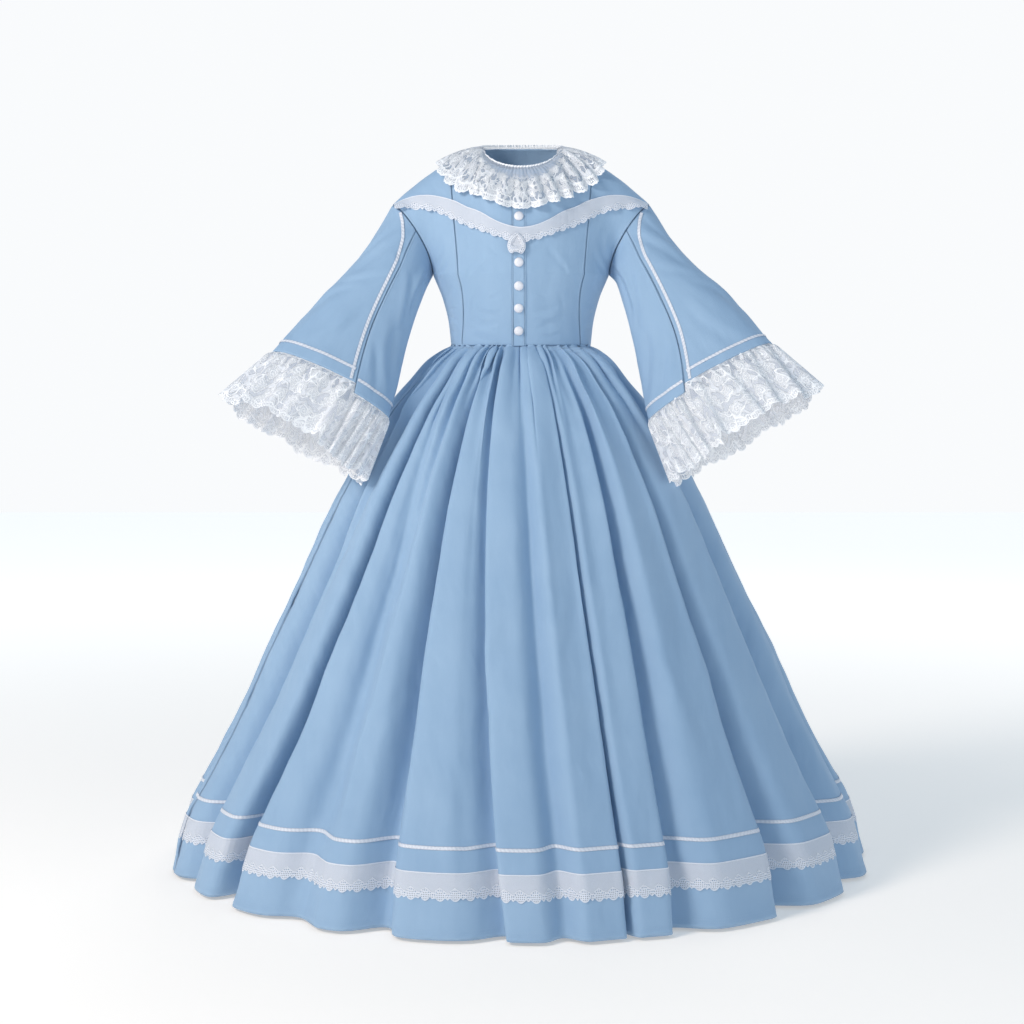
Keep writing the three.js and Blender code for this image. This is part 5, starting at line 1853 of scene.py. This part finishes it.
seat = bodice_front(across_at(FOLD_X, np.array(FOLD_UP)), np.array(FOLD_UP))
slope = normal_on(bodice_front, across_at(FOLD_X, np.array(FOLD_UP)), np.array(FOLD_UP))
fold_y = seat[1] - V_LIFT_AT_STAND - 2.4 - puff - (fold_z - seat[2]) * slope[2] / slope[1]
fold_grid = stack(fold_x, fold_y, fold_z)
fold_in = rim[None, :] - radius
fold_values = cloth_values(fold_angles * FOLD_RADIUS, fold_in + 4, fold_in * MM)
fold_piece = cloth_piece("v_fold_edging", fold_grid[::-1], fold_values[::-1], V_EYELET, 0.6)
declare(fold_piece, "v_loop", fold_grid, FOLD_CUT)

# %% [markdown]
# ## Buttons
# Shank buttons of glossy plastic: a low dome with a rounded edge that turns under. The profile is
# swept round an axis that stands square on the stand.

# %% Buttons
BUTTON_PROFILE = [
    (0.02, 6.0), (1.6, 5.95), (3.2, 5.75), (4.8, 5.35), (6.2, 4.75), (7.4, 3.95), (8.3, 3.05),
    (8.85, 2.2), (9.0, 1.6), (8.85, 1.0), (8.4, 0.55), (7.4, 0.3), (5.0, 0.25), (1.8, 0.25),
    (0.02, 0.25),
]
BUTTON_STEPS = 56


def button_plastic():
    look = Recipe("white_button")
    vector, along, up, spare = look.cloth()
    cloudy = look.add("ShaderNodeTexNoise", Vector=vector, Scale=260.0, Detail=2.0)
    colour = look.blend(cloudy.outputs["Fac"], (0.76, 0.76, 0.82, 1), (0.86, 0.86, 0.9, 1))
    rough = look.scaled(cloudy.outputs["Fac"], 0.16, 0.26)
    return look.finish(
        Base_Color=colour, Roughness=rough, Normal=look.bump(cloudy.outputs["Fac"], 0.0003, 0.15),
        Coat_Weight=0.3, Coat_Roughness=0.2, IOR=1.5,
    )


BUTTON_WHITE = button_plastic()
profile = np.array(BUTTON_PROFILE)
angles = np.linspace(0, 2 * math.pi, BUTTON_STEPS + 1)
button_pieces = []
for number, z in enumerate(BUTTON_Z, start=1):
    low, high = (np.array(corner) * 1000 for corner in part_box(f"button_{number}"))
    ups = np.linspace(0, TOP_UP, 600)
    line = bodice_front(across_at(BUTTON_X, ups), ups)
    up_here = np.interp(z, line[:, 2], ups)
    place = across_at(BUTTON_X, np.array(up_here))
    axis = normal_on(bodice_front, place, np.array(up_here))
    right = unit(np.cross(np.array((0, 0, 1.0)), axis))
    upward = np.cross(axis, right)
    centre = (low + high) / 2
    seat = centre - axis * BUTTON_HEIGHT / 2
    ring = right[None] * np.cos(angles)[:, None] + upward[None] * np.sin(angles)[:, None]
    radii, heights = profile[::-1, 0][:, None, None], profile[::-1, 1][:, None, None]
    grid = seat + ring[None] * radii + axis * heights
    button = cloth_piece(f"button_dome_{number}", grid, grid * MM, BUTTON_WHITE, 0)
    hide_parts(f"button_{number}")
    button_pieces.append(button)
print("buttons:", len(button_pieces))

# %% [markdown]
# ## The floor, and a count of triangles
# The gown hangs just above a pale floor. The floor glows a little, more so far away, where it
# fades into the background, and its own colour is a little warm, so that it looks white under
# the blue dome.

# %% Floor and finish
FLOOR_REACH = 9.0
FLOOR_Z = cad_box[0][2] - 0.006
GLOW_NEAR, GLOW_FAR = (0.9, 0.32), (5.5, 0.72)
corners = [(-1, -1), (1, -1), (1, 1), (-1, 1)]
floor_mesh = bpy.data.meshes.new("Floor")
floor_mesh.from_pydata(
    [(x * FLOOR_REACH, y * FLOOR_REACH, FLOOR_Z) for x, y in corners], [], [(0, 1, 2, 3)],
)
pale = Recipe("pale_floor")
place = pale.add("ShaderNodeNewGeometry")
far = pale.add("ShaderNodeVectorMath", {"operation": "LENGTH"}, i0=place.outputs["Position"])
glow = pale.add(
    "ShaderNodeMapRange", {"interpolation_type": "SMOOTHSTEP"}, Value=far.outputs["Value"],
    From_Min=GLOW_NEAR[0], From_Max=GLOW_FAR[0], To_Min=GLOW_NEAR[1], To_Max=GLOW_FAR[1],
)
floor_mesh.materials.append(pale.finish(
    Base_Color=(0.96, 0.87, 0.79, 1), Roughness=0.9, Emission_Color=(1, 0.975, 0.945, 1),
    Emission_Strength=glow.outputs["Result"],
))
floor = bpy.data.objects.new("Floor", floor_mesh)
bpy.context.collection.objects.link(floor)

print("triangles added:", sum(FACES.values()), "largest:", max(FACES.values()))
